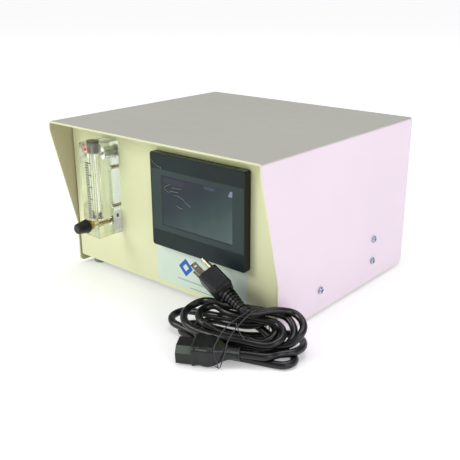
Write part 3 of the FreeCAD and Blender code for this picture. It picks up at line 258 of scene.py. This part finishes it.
def panel_coat():
    """Cream powder coat of the front panel."""
    s = Shader("panel_coat", Roughness=0.5, Specular_IOR_Level=0.4)
    cloudy = s.noise(6.0, 3.0)
    s.colour(s.ramp(cloudy, (0.3, srgb(222, 225, 182)), (0.7, srgb(227, 230, 188))))
    s.rough(s.noise(60.0, 3.0), 0.42, 0.58)
    s.bump(s.noise(1900.0, 3.0), 0.10, 0.00025)
    return s


def zinc():
    """Zinc-plated steel sheet."""
    s = Shader("zinc_sheet", Metallic=1.0, Roughness=0.4)
    s.colour(s.ramp(s.noise(90.0, 4.0), (0.3, srgb(176, 180, 184)), (0.7, srgb(204, 206, 208))))
    s.rough(s.noise(120.0, 4.0), 0.3, 0.5)
    return s


def bright_metal(name, light, dark, roughness=0.22):
    """Turned or plated metal with fine marks."""
    s = Shader(name, Metallic=1.0, Roughness=roughness)
    s.colour(s.ramp(s.noise(420.0, 4.0), (0.3, dark), (0.7, light)))
    s.rough(s.noise(700.0, 3.0), roughness * 0.7, roughness * 1.5)
    s.bump(s.noise(1500.0, 2.0, (1, 1, 6)), 0.05, 0.0001)
    return s


def moulded(name, colour, roughness=0.45, variation=0.12, grain=900.0, relief=0.12):
    """Moulded plastic or rubber with a fine grain."""
    s = Shader(name, Roughness=roughness)
    low = tuple(c * (1 - variation) for c in colour)
    high = tuple(min(1, c * (1 + variation)) for c in colour)
    s.colour(s.ramp(s.noise(55.0, 3.0), (0.3, low), (0.7, high)))
    s.rough(s.noise(130.0, 3.0), roughness * 0.8, min(1, roughness * 1.2))
    s.bump(s.noise(grain, 3.0), relief, 0.0002)
    return s


def bezel_plastic():
    """Dark slate bezel: fine ribs on its top side drawn as stripes, their pale stripes a painted highlight,
    and a painted brown shade on its right side.
    """
    s = Shader("bezel_plastic", Roughness=0.45, Specular_IOR_Level=0.25)
    nx, _, nz = s.facing()
    x, _, _ = s.axes()
    fade = s.ramp(s.noise(12.0, 2.0), (0.3, srgb(17, 30, 31)), (0.7, srgb(24, 39, 40)))
    # the top side's ribs as stripes; the pale stripes are a painted highlight
    ribs = s.ramp(s.stripes(x, BEZEL_RIB_PITCH), (0.3, srgb(24, 28, 30)), (0.8, srgb(122, 126, 122)))
    upward = s.ramp(nz, (0.6, (0, 0, 0)), (0.8, (1, 1, 1)))
    # painted brown shade on the right side
    painted_right_side = s.ramp(nx, (0.5, (0, 0, 0)), (0.8, (1, 1, 1)))
    s.colour(s.mix(painted_right_side, s.mix(upward, fade, ribs), srgb(31, 29, 26)))
    s.rough(s.noise(200.0, 3.0), 0.4, 0.55)
    s.bump(s.noise(1500.0, 3.0), 0.08, 0.0002)
    return s


def overlay_film():
    """The touch film: a slate border round a dark screen, with painted reflections (the screen growing
    lighter toward its lower right, two pale patches near its top and a lilac corner at its upper right) and
    a painted shadow along its left and bottom.
    """
    s = Shader("overlay_film", Roughness=0.2, Specular_IOR_Level=0.3)
    border = s.ramp(s.noise(10.0, 2.0), (0.3, srgb(31, 50, 50)), (0.7, srgb(40, 60, 59)))
    (left, low), (right, high) = SCREEN
    across = s.maths("DIVIDE", s.along((1, 0, 0), (left, 0, 0)), right - left)
    down = s.maths("DIVIDE", s.along((0, 0, -1), (0, 0, high)), high - low)
    toward = s.maths("MULTIPLY", s.maths("ADD", across, down), 0.5)
    cloud = s.maths("MULTIPLY_ADD", s.noise(22.0, 3.0), 0.3, -0.15)
    # painted reflection: the screen grows lighter toward its lower right
    shade = s.ramp(s.maths("ADD", toward, cloud), (0.1, srgb(17, 28, 40)), (0.4, srgb(26, 43, 52)),
                   (0.65, srgb(48, 68, 69)), (1.0, srgb(84, 104, 100)))
    # painted reflections: two pale patches near the screen's top, and a lilac triangle at its upper right
    pale = s.window((0.008, 0.1325), (0.0385, 0.1405), 0.002)
    shade = s.mix(s.maths("MULTIPLY", pale, 0.5), shade, srgb(48, 55, 72))
    pale = s.window((0.064, 0.1365), (0.080, 0.1412), 0.003)
    shade = s.mix(s.maths("MULTIPLY", pale, 0.7), shade, srgb(84, 88, 110))
    corner = s.maths("ADD", s.along((1, 0, 0), (0.0995, 0, 0)), s.along((0, 0, -0.45), (0, 0, 0.1430)))
    painted_reflection_corner = s.maths("MULTIPLY", s.inside(corner, 0, 0.0050), s.window((0.0960, 0.1356), (0.1030, 0.1430)))
    shade = s.mix(painted_reflection_corner, shade, srgb(132, 134, 166))
    # painted shadow of the screen's recess: a dark edge down the screen's left and along its bottom
    clear_of_painted_shadow = s.window((left + 0.0022, low + 0.0016), (right, high), 0.0005)
    shade = s.mix(clear_of_painted_shadow, srgb(24, 31, 36), shade)
    s.colour(s.mix(s.window(*SCREEN, 0.0004), border, shade))
    s.rough(s.noise(40.0, 4.0), 0.12, 0.3)
    s.bump(s.noise(18.0, 2.0), 0.12, 0.002)
    s.bump(s.noise(90.0, 2.0), 0.04, 0.0006)
    return s


def clear_block(name, tint, roughness=0.02):
    """Clear acrylic or glass that lets the lamps' light through, with painted light on a right side: a
    lighter tint on its front half and a painted shade on its back half.
    """
    s = Shader(name, Base_Color=(*tint, 1), Roughness=roughness, IOR=1.49, Transmission_Weight=1.0)
    s.rough(s.noise(90.0, 4.0), roughness, roughness + 0.04)
    nx, _, _ = s.facing()
    # painted light on right-facing faces: a lighter tint toward the front, painted shade on the back half
    painted_right_side = s.ramp(nx, (0.5, (0, 0, 0)), (0.8, (1, 1, 1)))
    behind_front = s.along((0, 1, 0), (0, BLOCK_FACE, 0))
    far_back = s.inside(behind_front, BLOCK_DEEP * 0.5, 1.0, 0.002)
    painted_deeper_shade = tuple(part * shade for part, shade in zip(tint, (0.62, 0.68, 0.58)))
    s.colour(s.mix(painted_right_side, tint, s.mix(far_back, (0.99, 0.99, 0.96), painted_deeper_shade)))
    through = s.add("ShaderNodeBsdfTransparent", Color=(*tint, 1))
    mixer = s.add("ShaderNodeMixShader")
    shadow = s.add("ShaderNodeLightPath").outputs["Is Shadow Ray"]
    s.link(s.maths("MAXIMUM", shadow, SEEN_STRAIGHT_THROUGH), mixer.inputs["Fac"])
    s.link(s.surface.outputs["BSDF"], mixer.inputs[1])
    s.link(through.outputs["BSDF"], mixer.inputs[2])
    s.link(mixer.outputs["Shader"], s.tree.nodes["Material Output"].inputs["Surface"])
    return s


def connector_black():
    """The connector's black PVC, with a painted highlight on the slope along its nose's upper front corner.
    """
    s = moulded("connector_pvc", srgb(10, 13, 13), 0.3, 0.25, 1200.0)
    black = s.surface.inputs["Base Color"].links[0].from_socket
    # painted highlight on the slope along the nose's upper front corner, lighter where the surface faces
    # along it
    slope = s.add("ShaderNodeVectorMath", operation="DOT_PRODUCT")
    s.link(s.tree.nodes["Texture Coordinate"].outputs["Normal"], slope.inputs[0])
    slope.inputs[1].default_value = CONNECTOR_FRAME.to_3x3() @ Vector((0, 0.707, 0.707))
    painted_chamfer_highlight = s.ramp(slope.outputs["Value"], (0.95, (0, 0, 0)), (0.99, (1, 1, 1)))
    s.colour(s.mix(painted_chamfer_highlight, black, srgb(84, 94, 84)))
    return s


def plug_pvc():
    """The plug's black PVC, with fine ribs along its body, and painted shade darkening the ribs' grooves."""
    s = Shader("plug_pvc", Roughness=0.4, Specular_IOR_Level=0.4)
    black = s.ramp(s.noise(70.0, 3.0), (0.3, srgb(5, 5, 8)), (0.7, srgb(10, 10, 14)))
    from_cord = s.along(PLUG_ALONG, PLUG_END)
    ribs = s.maths("MULTIPLY", s.stripes(s.along(PLUG_ACROSS, PLUG_END), PLUG_RIB_PITCH),
                   s.inside(from_cord, 0.029, 0.0505, 0.001))
    # painted shade: the ribs' grooves darker than their crests
    s.colour(s.mix(ribs, black, srgb(30, 31, 37)))
    s.rough(s.noise(160.0, 3.0), 0.3, 0.45)
    s.bump(ribs, 1.0, 0.0007)
    s.bump(s.noise(2200.0, 3.0), 0.15, 0.0002)
    return s


def printed_label():
    """The pale label: a blue diamond, a red bar, a blue bar and plain lines, and no lettering."""
    s = Shader("printed_label", Roughness=0.4, Specular_IOR_Level=0.35)
    sheet = s.ramp(s.noise(20.0, 2.0), (0.3, srgb(208, 225, 210)), (0.7, srgb(216, 232, 219)))
    x, _, z = s.axes()
    spread = s.maths("ADD", s.maths("ABSOLUTE", s.maths("SUBTRACT", x, 0.0295)),
                     s.maths("ABSOLUTE", s.maths("SUBTRACT", z, 0.042)))
    look = s.mix(s.inside(spread, 0.0042, 0.0105), sheet, BLUE)
    look = s.mix(s.window((0.0430, 0.0435), (0.0640, 0.0462)), look, RED)
    look = s.mix(s.window((0.0430, 0.0385), (0.0640, 0.0412)), look, BLUE)
    look = s.mix(s.window((0.0170, 0.0262), (0.0620, 0.0282), 0.0006), look, srgb(158, 182, 190))
    look = s.mix(s.window((0.0350, 0.0196), (0.0690, 0.0206)), look, srgb(120, 138, 134))
    s.colour(look)
    s.rough(s.noise(80.0, 2.0), 0.32, 0.45)
    s.bump(s.noise(25.0, 2.0), 0.05, 0.0006)
    return s


def side_sticker():
    """A small white sticker with faint blocks and lines, and no lettering."""
    s = Shader("side_sticker", Roughness=0.4)
    _, y, z = s.axes()
    paper = s.ramp(s.noise(60.0, 2.0), (0.3, srgb(216, 218, 216)), (0.7, srgb(228, 230, 228)))
    lines = s.maths("MULTIPLY", s.stripes(y, 0.0021), s.inside(z, 0.0635, 0.0770, 0.0006))
    look = s.mix(s.maths("MULTIPLY", lines, 0.5), paper, srgb(150, 140, 156))
    block = s.maths("MULTIPLY", s.inside(z, 0.0785, 0.0830, 0.0003), s.inside(y, -0.1140, -0.1105, 0.0003))
    s.colour(s.mix(block, look, srgb(70, 56, 84)))
    return s


coat = powder_coat()
panel = panel_coat()
steel = zinc()
screw_metal = bright_metal("screw_zinc", srgb(205, 214, 230), srgb(140, 150, 170), 0.2)
nickel = bright_metal("nickel_plate", srgb(206, 198, 178), srgb(150, 140, 120), 0.18)
brass = bright_metal("brass", srgb(222, 188, 112), srgb(170, 132, 66), 0.22)
aluminium = bright_metal("aluminium", srgb(205, 207, 210), srgb(172, 175, 180), 0.3)
foot_rubber = moulded("foot_rubber", srgb(126, 142, 138), 0.7, 0.1, 1400.0)
bezel = bezel_plastic()
black_plastic = moulded("black_plastic", srgb(22, 22, 24), 0.5, 0.15)
knob_plastic = moulded("knob_plastic", srgb(5, 5, 6), 0.34, 0.2, 1200.0)
film = overlay_film()
lead_pvc = moulded("lead_pvc", srgb(8, 8, 10), 0.29, 0.2, 700.0, 0.03)
connector_pvc = connector_black()
ribbed_pvc = plug_pvc()
seal = moulded("seal_rubber", srgb(16, 16, 16), 0.6)
plug_grey = moulded("plug_grey", srgb(92, 90, 78), 0.35, 0.1)
board = moulded("board_green", srgb(24, 92, 52), 0.35, 0.1)
relay = moulded("relay_blue", srgb(36, 78, 160), 0.35, 0.08)
red_wire = moulded("red_wire", srgb(170, 32, 26), 0.35, 0.1)
hose = moulded("clear_hose", srgb(206, 220, 228), 0.2, 0.05)
label = printed_label()
sticker = side_sticker()
acrylic = clear_block("acrylic", (0.92, 0.945, 0.925))
glass = clear_block("fuse_glass", (0.97, 0.98, 0.98))
display = moulded("display", srgb(40, 50, 58), 0.2, 0.05)
ink = moulded("scale_ink", srgb(6, 7, 7), 0.6, 0.1)
red_ink = moulded("red_ink", srgb(190, 44, 34), 0.5, 0.1)
sleeve_grey = moulded("sleeve_grey", srgb(206, 208, 200), 0.4, 0.04)
# pale strokes on the film, a painted reflection
film_reflection_strokes = moulded("film_reflection_strokes", srgb(128, 140, 128), 0.3, 0.1)
tie_wire = moulded("tie_wire", srgb(62, 62, 68), 0.35, 0.1)

LOOKS = {
    coat: ["cover", "rear_panel"], panel: ["front_panel"], steel: ["base_tray"],
    screw_metal: ["cover_screws_right", "cover_screws_left", "foot_screws", "hmi_clamps", "knob_set_screw"],
    foot_rubber: ["foot_front_left", "foot_front_right", "foot_back_left", "foot_back_right"],
    bezel: ["hmi_bezel"], film: ["touch_film"], display: ["lcd_module"],
    black_plastic: ["hmi_housing", "hmi_power_plug", "inlet_housing", "power_rocker", "fuse_drawer",
                    "regulator_bonnet", "solenoid_coil", "twist_tie"],
    seal: ["hmi_gasket", "outlet_washer"], label: ["front_label"], sticker: ["flow_label"],
    acrylic: ["flow_body"], plug_grey: ["tube_end_plug", "float_stops"],
    knob_plastic: ["flow_knob", "float_ball"], sleeve_grey: ["outlet_sleeve"],
    aluminium: ["regulator_body", "power_supply", "board_standoffs"],
    brass: ["valve_body", "flow_mount_screws", "flow_port_nuts", "flow_port_barbs", "needle_stem",
            "gas_inlet_nipple", "gas_outlet_barb", "gas_port_nuts", "valve_block"],
    nickel: ["inlet_pins", "plug_blades"], glass: ["fuse_link"], hose: ["gas_tubing"],
    board: ["control_board"], relay: ["board_relays"], red_wire: ["wiring_loom"],
    lead_pvc: ["cord_hank", "cord_lead_plug", "cord_lead_connector", "appliance_connector"],
    ribbed_pvc: ["mains_plug"],
}
for shader, names in LOOKS.items():
    for name in names:
        paint(name, shader)


# ------------------------------------------------------------------ mains lead
def hank_point(along, back, height):
    """A point of the hank, in millimetres along it, behind its middle and above the floor."""
    return HANK_MIDDLE + HANK_TURN @ Vector((along * mm, back * mm, height * mm))


def lead_route():
    """The lead's line from the plug to the connector, wound clockwise seen from above."""
    # each fold: side, then in millimetres reach, middle, half width, height behind, at the tip and in front
    folds = [
        (1, 70, 8, 18, 33, 25, 13), (-1, -35, 3, 15, 16, 13, 10), (1, 45, 2, 14, 25, 20, 14),
        (-1, -32, 4, 15, 32, 29, 24), (1, 54, -5, 16, 27, 22, 17), (-1, -49.5, 9, 21, 31, 24, 18),
        (1, 62, 5, 19, 30, 19, 7), (-1, -68, 21, 14, 13, 11, 9), (1, 67.5, -14, 13, 4, 4, 4),
        (-1, -54, 12, 13, 5, 5, 5), (1, 71.5, 4, 22, 10, 10, 10),
    ]
    # where each run crosses the tie: behind the middle, and height
    crossings = [(-18, 11), (8, 20), (-11, 17), (7, 30), (-22, 20),
                 (13, 36), (-12, 6), (18, 20), (-24, 4), (14, 6)]
    points = [PLUG_END, PLUG_END - 8 * mm * PLUG_ALONG, hank_point(26, 4, 36.5), hank_point(40, 14, 37.5)]
    for fold, crossing in zip(folds, crossings + [None]):
        side, reach, middle, half, behind, tip, front = fold
        for step in (76, 46, 15, -15, -46, -76):
            angle = math.radians(step * side)
            height = tip + (behind - tip) * max(math.sin(angle), 0) ** 1.5
            height += (front - tip) * max(-math.sin(angle), 0) ** 1.5
            points.append(hank_point(reach - side * half * 1.1 * (1 - math.cos(angle)),
                                     middle + half * math.sin(angle), height))
        if crossing:
            points += [hank_point(8 + 12 * side, *crossing), hank_point(8 - 12 * side, *crossing)]
    points += [NECK_END - 24 * mm * NECK_ALONG - Vector((0, 0, mm)),
               NECK_END - 11 * mm * NECK_ALONG, NECK_END]
    return points


def placed(name, data):
    """A new object in the scene with this data."""
    piece = bpy.data.objects.new(name, data)
    bpy.context.scene.collection.objects.link(piece)
    return piece


def tubes(name, radius, strands, bevel, resolution):
    """Round tubes, each on one smooth open spline that its own points guide, in metres."""
    curve = bpy.data.curves.new(name, "CURVE")
    curve.dimensions = "3D"
    curve.bevel_depth = radius
    curve.bevel_resolution = bevel
    curve.resolution_u = resolution
    curve.use_fill_caps = True
    for strand in strands:
        line = curve.splines.new("NURBS")
        line.points.add(len(strand) - 1)
        for target, place in zip(line.points, strand):
            target.co = (*place, 1)
        line.order_u = 3
        line.use_endpoint_u = True
    return placed(name, curve)


lead = tubes("mains_lead", CORD_ROUND, [lead_route()], 6, 8)
lead.data.materials.append(lead_pvc.material)
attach(lead, "root")
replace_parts(lead, "cord_hank", "cord_lead_plug", "cord_lead_connector")


# ------------------------------------------------------------------ tie, scale and film marks
# half the numerals' thickness, the printed bars' and rings' thickness, and the gap inside the clear block
INK_THICK = 0.02 * mm
PLATE_THICK = 0.05 * mm
AIR_GAP = 0.05 * mm


def keep(piece, shader, body="root"):
    """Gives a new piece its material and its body."""
    piece.data.materials.append(shader.material)
    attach(piece, body)
    return piece


def wires(name, radius, *strands):
    """Thin round wires, each guided by its own points in millimetres."""
    in_metres = [[tuple(c * mm for c in place) for place in strand] for strand in strands]
    return tubes(name, radius, in_metres, 3, 6)


def solid(name, mesh):
    """An object from a mesh under construction, which is freed."""
    bmesh.ops.recalc_face_normals(mesh, faces=mesh.faces)
    data = bpy.data.meshes.new(name)
    mesh.to_mesh(data)
    mesh.free()
    return placed(name, data)


def plates(name, rectangles, depth):
    """Thin bars on a face toward -Y, each from its low left and high right corner, X and Z, and its Y."""
    mesh = bmesh.new()
    for low, high, y in rectangles:
        corners = [(low[0], low[1]), (high[0], low[1]), (high[0], high[1]), (low[0], high[1])]
        front = [mesh.verts.new((x, y - depth, z)) for x, z in corners]
        behind = [mesh.verts.new((x, y, z)) for x, z in corners]
        mesh.faces.new(front)
        mesh.faces.new(behind[::-1])
        for i in range(4):
            j = (i + 1) % 4
            mesh.faces.new((front[i], behind[i], behind[j], front[j]))
    return solid(name, mesh)


def numeral(digit, x, z, tall):
    """A printed numeral on the flowmeter's front face."""
    text = bpy.data.curves.new("numeral", "FONT")
    text.body = str(digit)
    text.size = tall / 0.7
    text.extrude = INK_THICK
    text.align_y = "CENTER"
    made = placed("numeral", text)
    upright = Matrix.Rotation(math.pi / 2, 4, "X")
    made.matrix_world = Matrix.Translation((x, BLOCK_FACE - INK_THICK, z)) @ upright
    bpy.context.view_layer.update()
    return made


def flow_scale():
    """Tick marks up the block's front, longer at each fifth, with numerals 1 to 5."""
    highest, pitch, middle = 144.4 * mm, 2.7 * mm, -83 * mm
    bars, digits = [], []
    for i in range(24):
        z = highest - pitch * i
        long = i % 5 == 0
        start, across, half_thick = middle - 2.6 * mm, (8.0 if long else 5.6) * mm, 0.68 * mm
        bars.append(((start, z - half_thick), (start + across, z + half_thick), BLOCK_FACE))
        if long:
            digits.append(numeral(5 - i // 5, middle + 6 * mm, z, 2.2 * mm))
    scale = plates("flow_scale", bars, PLATE_THICK)
    bpy.ops.object.select_all(action="DESELECT")
    for digit in digits:
        digit.select_set(True)
    bpy.context.view_layer.objects.active = digits[0]
    bpy.ops.object.convert(target="MESH")
    scale.select_set(True)
    bpy.context.view_layer.objects.active = scale
    bpy.ops.object.join()
    scale.select_set(False)
    return scale


def ring(name, centre, outer, inner, y, sides=48):
    """A thin flat ring on a face toward -Y, or a disc when its inner radius is zero."""
    mesh = bmesh.new()
    loops = []
    turns = [2 * math.pi * i / sides for i in range(sides)]
    for radius in (outer, inner):
        if radius:
            loops.append([mesh.verts.new((centre[0] + radius * math.cos(turn), y,
                                          centre[1] + radius * math.sin(turn))) for turn in turns])
    if inner:
        for i in range(sides):
            j = (i + 1) % sides
            mesh.faces.new((loops[0][i], loops[0][j], loops[1][j], loops[1][i]))
    else:
        mesh.faces.new(loops[0])
    bmesh.ops.recalc_face_normals(mesh, faces=mesh.faces)
    raised = bmesh.ops.extrude_face_region(mesh, geom=mesh.faces[:])
    moved = [g for g in raised["geom"] if isinstance(g, bmesh.types.BMVert)]
    bmesh.ops.translate(mesh, vec=(0, -PLATE_THICK, 0), verts=moved)
    return solid(name, mesh)


tie = keep(wires(
    "tie_wires", 0.5 * mm,
    [(144, -117, 1.2), (144, -114, 12), (144, -116, 26), (144.5, -124, 38), (145.2, -136, 43),
     (145.5, -145.5, 42.2), (144.7, -161.1, 40.5), (141.4, -172.2, 35.6), (141.5, -181.8, 27.8),
     (141.9, -188.4, 21.8), (143.5, -189.8, 15.6), (145.3, -188.0, 8.5), (144.4, -185, 1.2)],
    [(148, -117, 1.2), (148, -114, 12), (148, -116, 26), (148.5, -124, 38), (149.2, -136, 43),
     (149.5, -145.3, 42.2), (149.3, -158.9, 38), (147.1, -166.9, 31.6), (146.5, -173.7, 25.4),
     (148.6, -179.6, 19.2), (148.4, -183, 10.5), (145.6, -184, 1.2)],
    [(142.5, -187.5, 3.0), (144.6, -186.2, 2.0), (146.2, -186.4, 1.6), (147.6, -187.8, 2.6)],
    [(141, -156, 33.5), (146.4, -160.5, 28.6), (157.6, -164, 26.2)],
), tie_wire)
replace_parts(tie, "twist_tie")


def airy_block():
    """The clear block, a hair smaller all over, so that light crosses an air gap to the parts in it."""
    data = nodes["flow_body"].data.copy()
    mesh = bmesh.new()
    mesh.from_mesh(data)
    bmesh.ops.remove_doubles(mesh, verts=mesh.verts, dist=0.001 * mm)
    bmesh.ops.recalc_face_normals(mesh, faces=mesh.faces)
    mesh.normal_update()
    for vert, normal in [(v, v.normal.copy()) for v in mesh.verts]:
        vert.co -= normal * AIR_GAP
    mesh.to_mesh(data)
    mesh.free()
    data.materials.clear()
    piece = placed("clear_block", data)
    smooth(piece)
    return piece


def rounded_ring(mesh, x, half_wide, half_tall, corner, steps=5):
    """A closed ring of vertices round a rounded rectangle across the connector, in millimetres."""
    ring_verts = []
    for quarter in range(4):
        side_y = 1 if quarter in (0, 3) else -1
        side_z = 1 if quarter in (0, 1) else -1
        for i in range(steps + 1):
            angle = math.pi / 2 * (quarter + i / steps)
            y = side_y * (half_wide - corner) + corner * math.cos(angle)
            z = side_z * (half_tall - corner) + corner * math.sin(angle)
            ring_verts.append(mesh.verts.new(CONNECTOR_FRAME @ Vector((x * mm, y * mm, z * mm))))
    return ring_verts


def moulded_connector():
    """The appliance connector: the CAD part's nose with a hollow-sided grip that tapers to its neck."""
    data = nodes["appliance_connector"].data.copy()
    mesh = bmesh.new()
    mesh.from_mesh(data)
    along = CONNECTOR_FRAME.to_3x3() @ Vector((1, 0, 0))
    everything = mesh.verts[:] + mesh.edges[:] + mesh.faces[:]
    nose_start = NECK_END + along * 42.7 * mm
    bmesh.ops.bisect_plane(mesh, geom=everything, plane_co=nose_start, plane_no=along, clear_inner=True)
    # each section: place along the grip, half width, half height and corner radius, in millimetres
    sections = [
        (0, 5.6, 5.6, 5.5), (0.5, 6.2, 6.2, 6.1), (2.0, 6.3, 6.3, 6.2), (2.5, 5.7, 5.7, 5.6),
        (8, 6.0, 6.0, 5.8), (12, 6.6, 6.4, 5.6), (16, 8.2, 7.4, 5.2), (20, 10.6, 8.8, 4.9),
        (24, 12.5, 9.9, 4.6), (28, 13.4, 10.5, 4.3), (32, 13.3, 10.4, 4.1), (36, 12.6, 9.9, 3.9),
        (39, 12.8, 10.1, 3.8), (41, 13.4, 10.5, 3.8), (42.6, 13.5, 10.5, 3.6), (43.3, 12.9, 9.9, 3.2),
        (43.4, 11.6, 7.8, 2.0),
    ]
    rings = [rounded_ring(mesh, *section) for section in sections]
    for first, second in zip(rings, rings[1:]):
        for i in range(len(first)):
            j = (i + 1) % len(first)
            mesh.faces.new((first[i], first[j], second[j], second[i]))
    mesh.faces.new(rings[0][::-1])
    mesh.faces.new(rings[-1])
    bmesh.ops.recalc_face_normals(mesh, faces=mesh.faces)
    mesh.to_mesh(data)
    mesh.free()
    data.materials.clear()
    piece = placed("connector", data)
    smooth(piece, 40)
    return piece


connector = keep(moulded_connector(), connector_pvc)
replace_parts(connector, "appliance_connector")
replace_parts(keep(airy_block(), acrylic), "flow_body")

keep(flow_scale(), ink)
roundel = (-83.6 * mm, 159.3 * mm)
keep(ring("roundel_ring", roundel, 5.2 * mm, 4.3 * mm, BLOCK_FACE), red_ink)
keep(ring("roundel_dot", roundel, 1.9 * mm, 0, BLOCK_FACE), red_ink)
# painted reflections: thin pale strokes lying on the film
reflection_strokes_y = BEZEL_FACE / mm - 0.15
keep(wires("film_painted_reflections", 0.2 * mm, *[[(x, reflection_strokes_y, z) for x, z in stroke] for stroke in (
    [(-7.5, 155.4), (-5.5, 152.2), (-2.5, 151.4), (1.8, 149.3), (6.9, 149.9), (5.3, 147.4)],
    [(18.4, 133.5), (12.5, 131.0), (9.4, 128.0), (13.0, 125.6), (17.5, 124.6)],
    [(21.2, 130.3), (27, 130.9), (34, 131.2)], [(18.1, 126.4), (24, 126.6), (29.6, 126.9)],
    [(24, 123.0), (31, 123.4), (37.8, 120.4), (41, 117.5)], [(40, 118.0), (44.5, 116.9), (46.5, 114.8)],
    [(27, 112.5), (32, 110.5), (36, 110.9)],
)]), film_reflection_strokes)


# ------------------------------------------------------------------ stage, light and camera
# strength of the world overhead, and of the floor's own glow near the object and far from it
WORLD_LIGHT = 0.3
NEAR_GLOW, FAR_GLOW = 0.3, 0.68


def area_light(name, place, target, size, power, colour):
    """A soft square light at a place, facing a target."""
    data = bpy.data.lights.new(name, "AREA")
    data.size = size
    data.energy = power
    data.color = colour
    lamp = placed(name, data)
    lamp.location = place
    lamp.rotation_euler = (Vector(target) - Vector(place)).to_track_quat("-Z", "Y").to_euler()


def make_stage():
    """A pale floor that reaches past the view, and a white world, brighter at the horizon."""
    bpy.ops.mesh.primitive_plane_add(size=60, location=(0, 0, 0))
    floor = bpy.context.object
    floor.name = "floor"
    s = Shader("floor_white", Roughness=0.9, Specular_IOR_Level=0.1)
    s.colour(s.ramp(s.noise(3.0, 1.0), (0.3, (0.84, 0.84, 0.84)), (0.7, (0.86, 0.86, 0.86))))
    s.surface.inputs["Emission Color"].default_value = (1, 1, 1, 1)
    distance = s.add("ShaderNodeVectorMath", operation="LENGTH")
    s.link(s.where, distance.inputs[0])
    glow = s.add("ShaderNodeMapRange", From_Min=0.15, From_Max=2.5, To_Min=NEAR_GLOW, To_Max=FAR_GLOW)
    s.link(distance.outputs["Value"], glow.inputs["Value"])
    s.link(glow.outputs["Result"], s.surface.inputs["Emission Strength"])
    floor.data.materials.append(s.material)
    world = bpy.data.worlds.new("studio")
    world.use_nodes = True
    tree = world.node_tree
    place = tree.nodes.new("ShaderNodeTexCoord")
    height = tree.nodes.new("ShaderNodeSeparateXYZ")
    glow = tree.nodes.new("ShaderNodeMapRange")
    for key, value in (("From Min", 0.0), ("From Max", 0.3), ("To Min", 1.0), ("To Max", WORLD_LIGHT)):
        glow.inputs[key].default_value = value
    tree.links.new(place.outputs["Generated"], height.inputs["Vector"])
    tree.links.new(height.outputs["Z"], glow.inputs["Value"])
    tree.links.new(glow.outputs["Result"], tree.nodes["Background"].inputs["Strength"])
    tree.nodes["Background"].inputs["Color"].default_value = (1, 1, 1, 1)
    bpy.context.scene.world = world


make_stage()
area_light("overhead", (0.1, 0.3, 2.0), (0, 0, 0), 1.4, 20, (0.95, 0.92, 1.0))
area_light("key", (-0.9, -1.5, 1.2), (0, 0, 0.08), 0.8, 17, (0.98, 1.0, 0.93))
area_light("right", (1.7, -0.3, 0.9), (0, 0, 0.06), 0.8, 7, (0.94, 0.88, 1.0))
bpy.context.scene.view_settings.view_transform = "Standard"

CAMERA_PLACE = (0.51075, -0.59482, 0.33147)
camera_data = bpy.data.cameras.new("camera")
camera_data.sensor_width = 36
camera_data.lens = 54.69
camera = placed("camera", camera_data)
right, up, back = (0.75935, 0.65067, -0.00292), (-0.21903, 0.25983, 0.94049), (0.61271, -0.71352, 0.33982)
turned = Matrix((right, up, back)).transposed().to_4x4()
camera.matrix_world = Matrix.Translation(CAMERA_PLACE) @ turned
bpy.context.scene.camera = camera
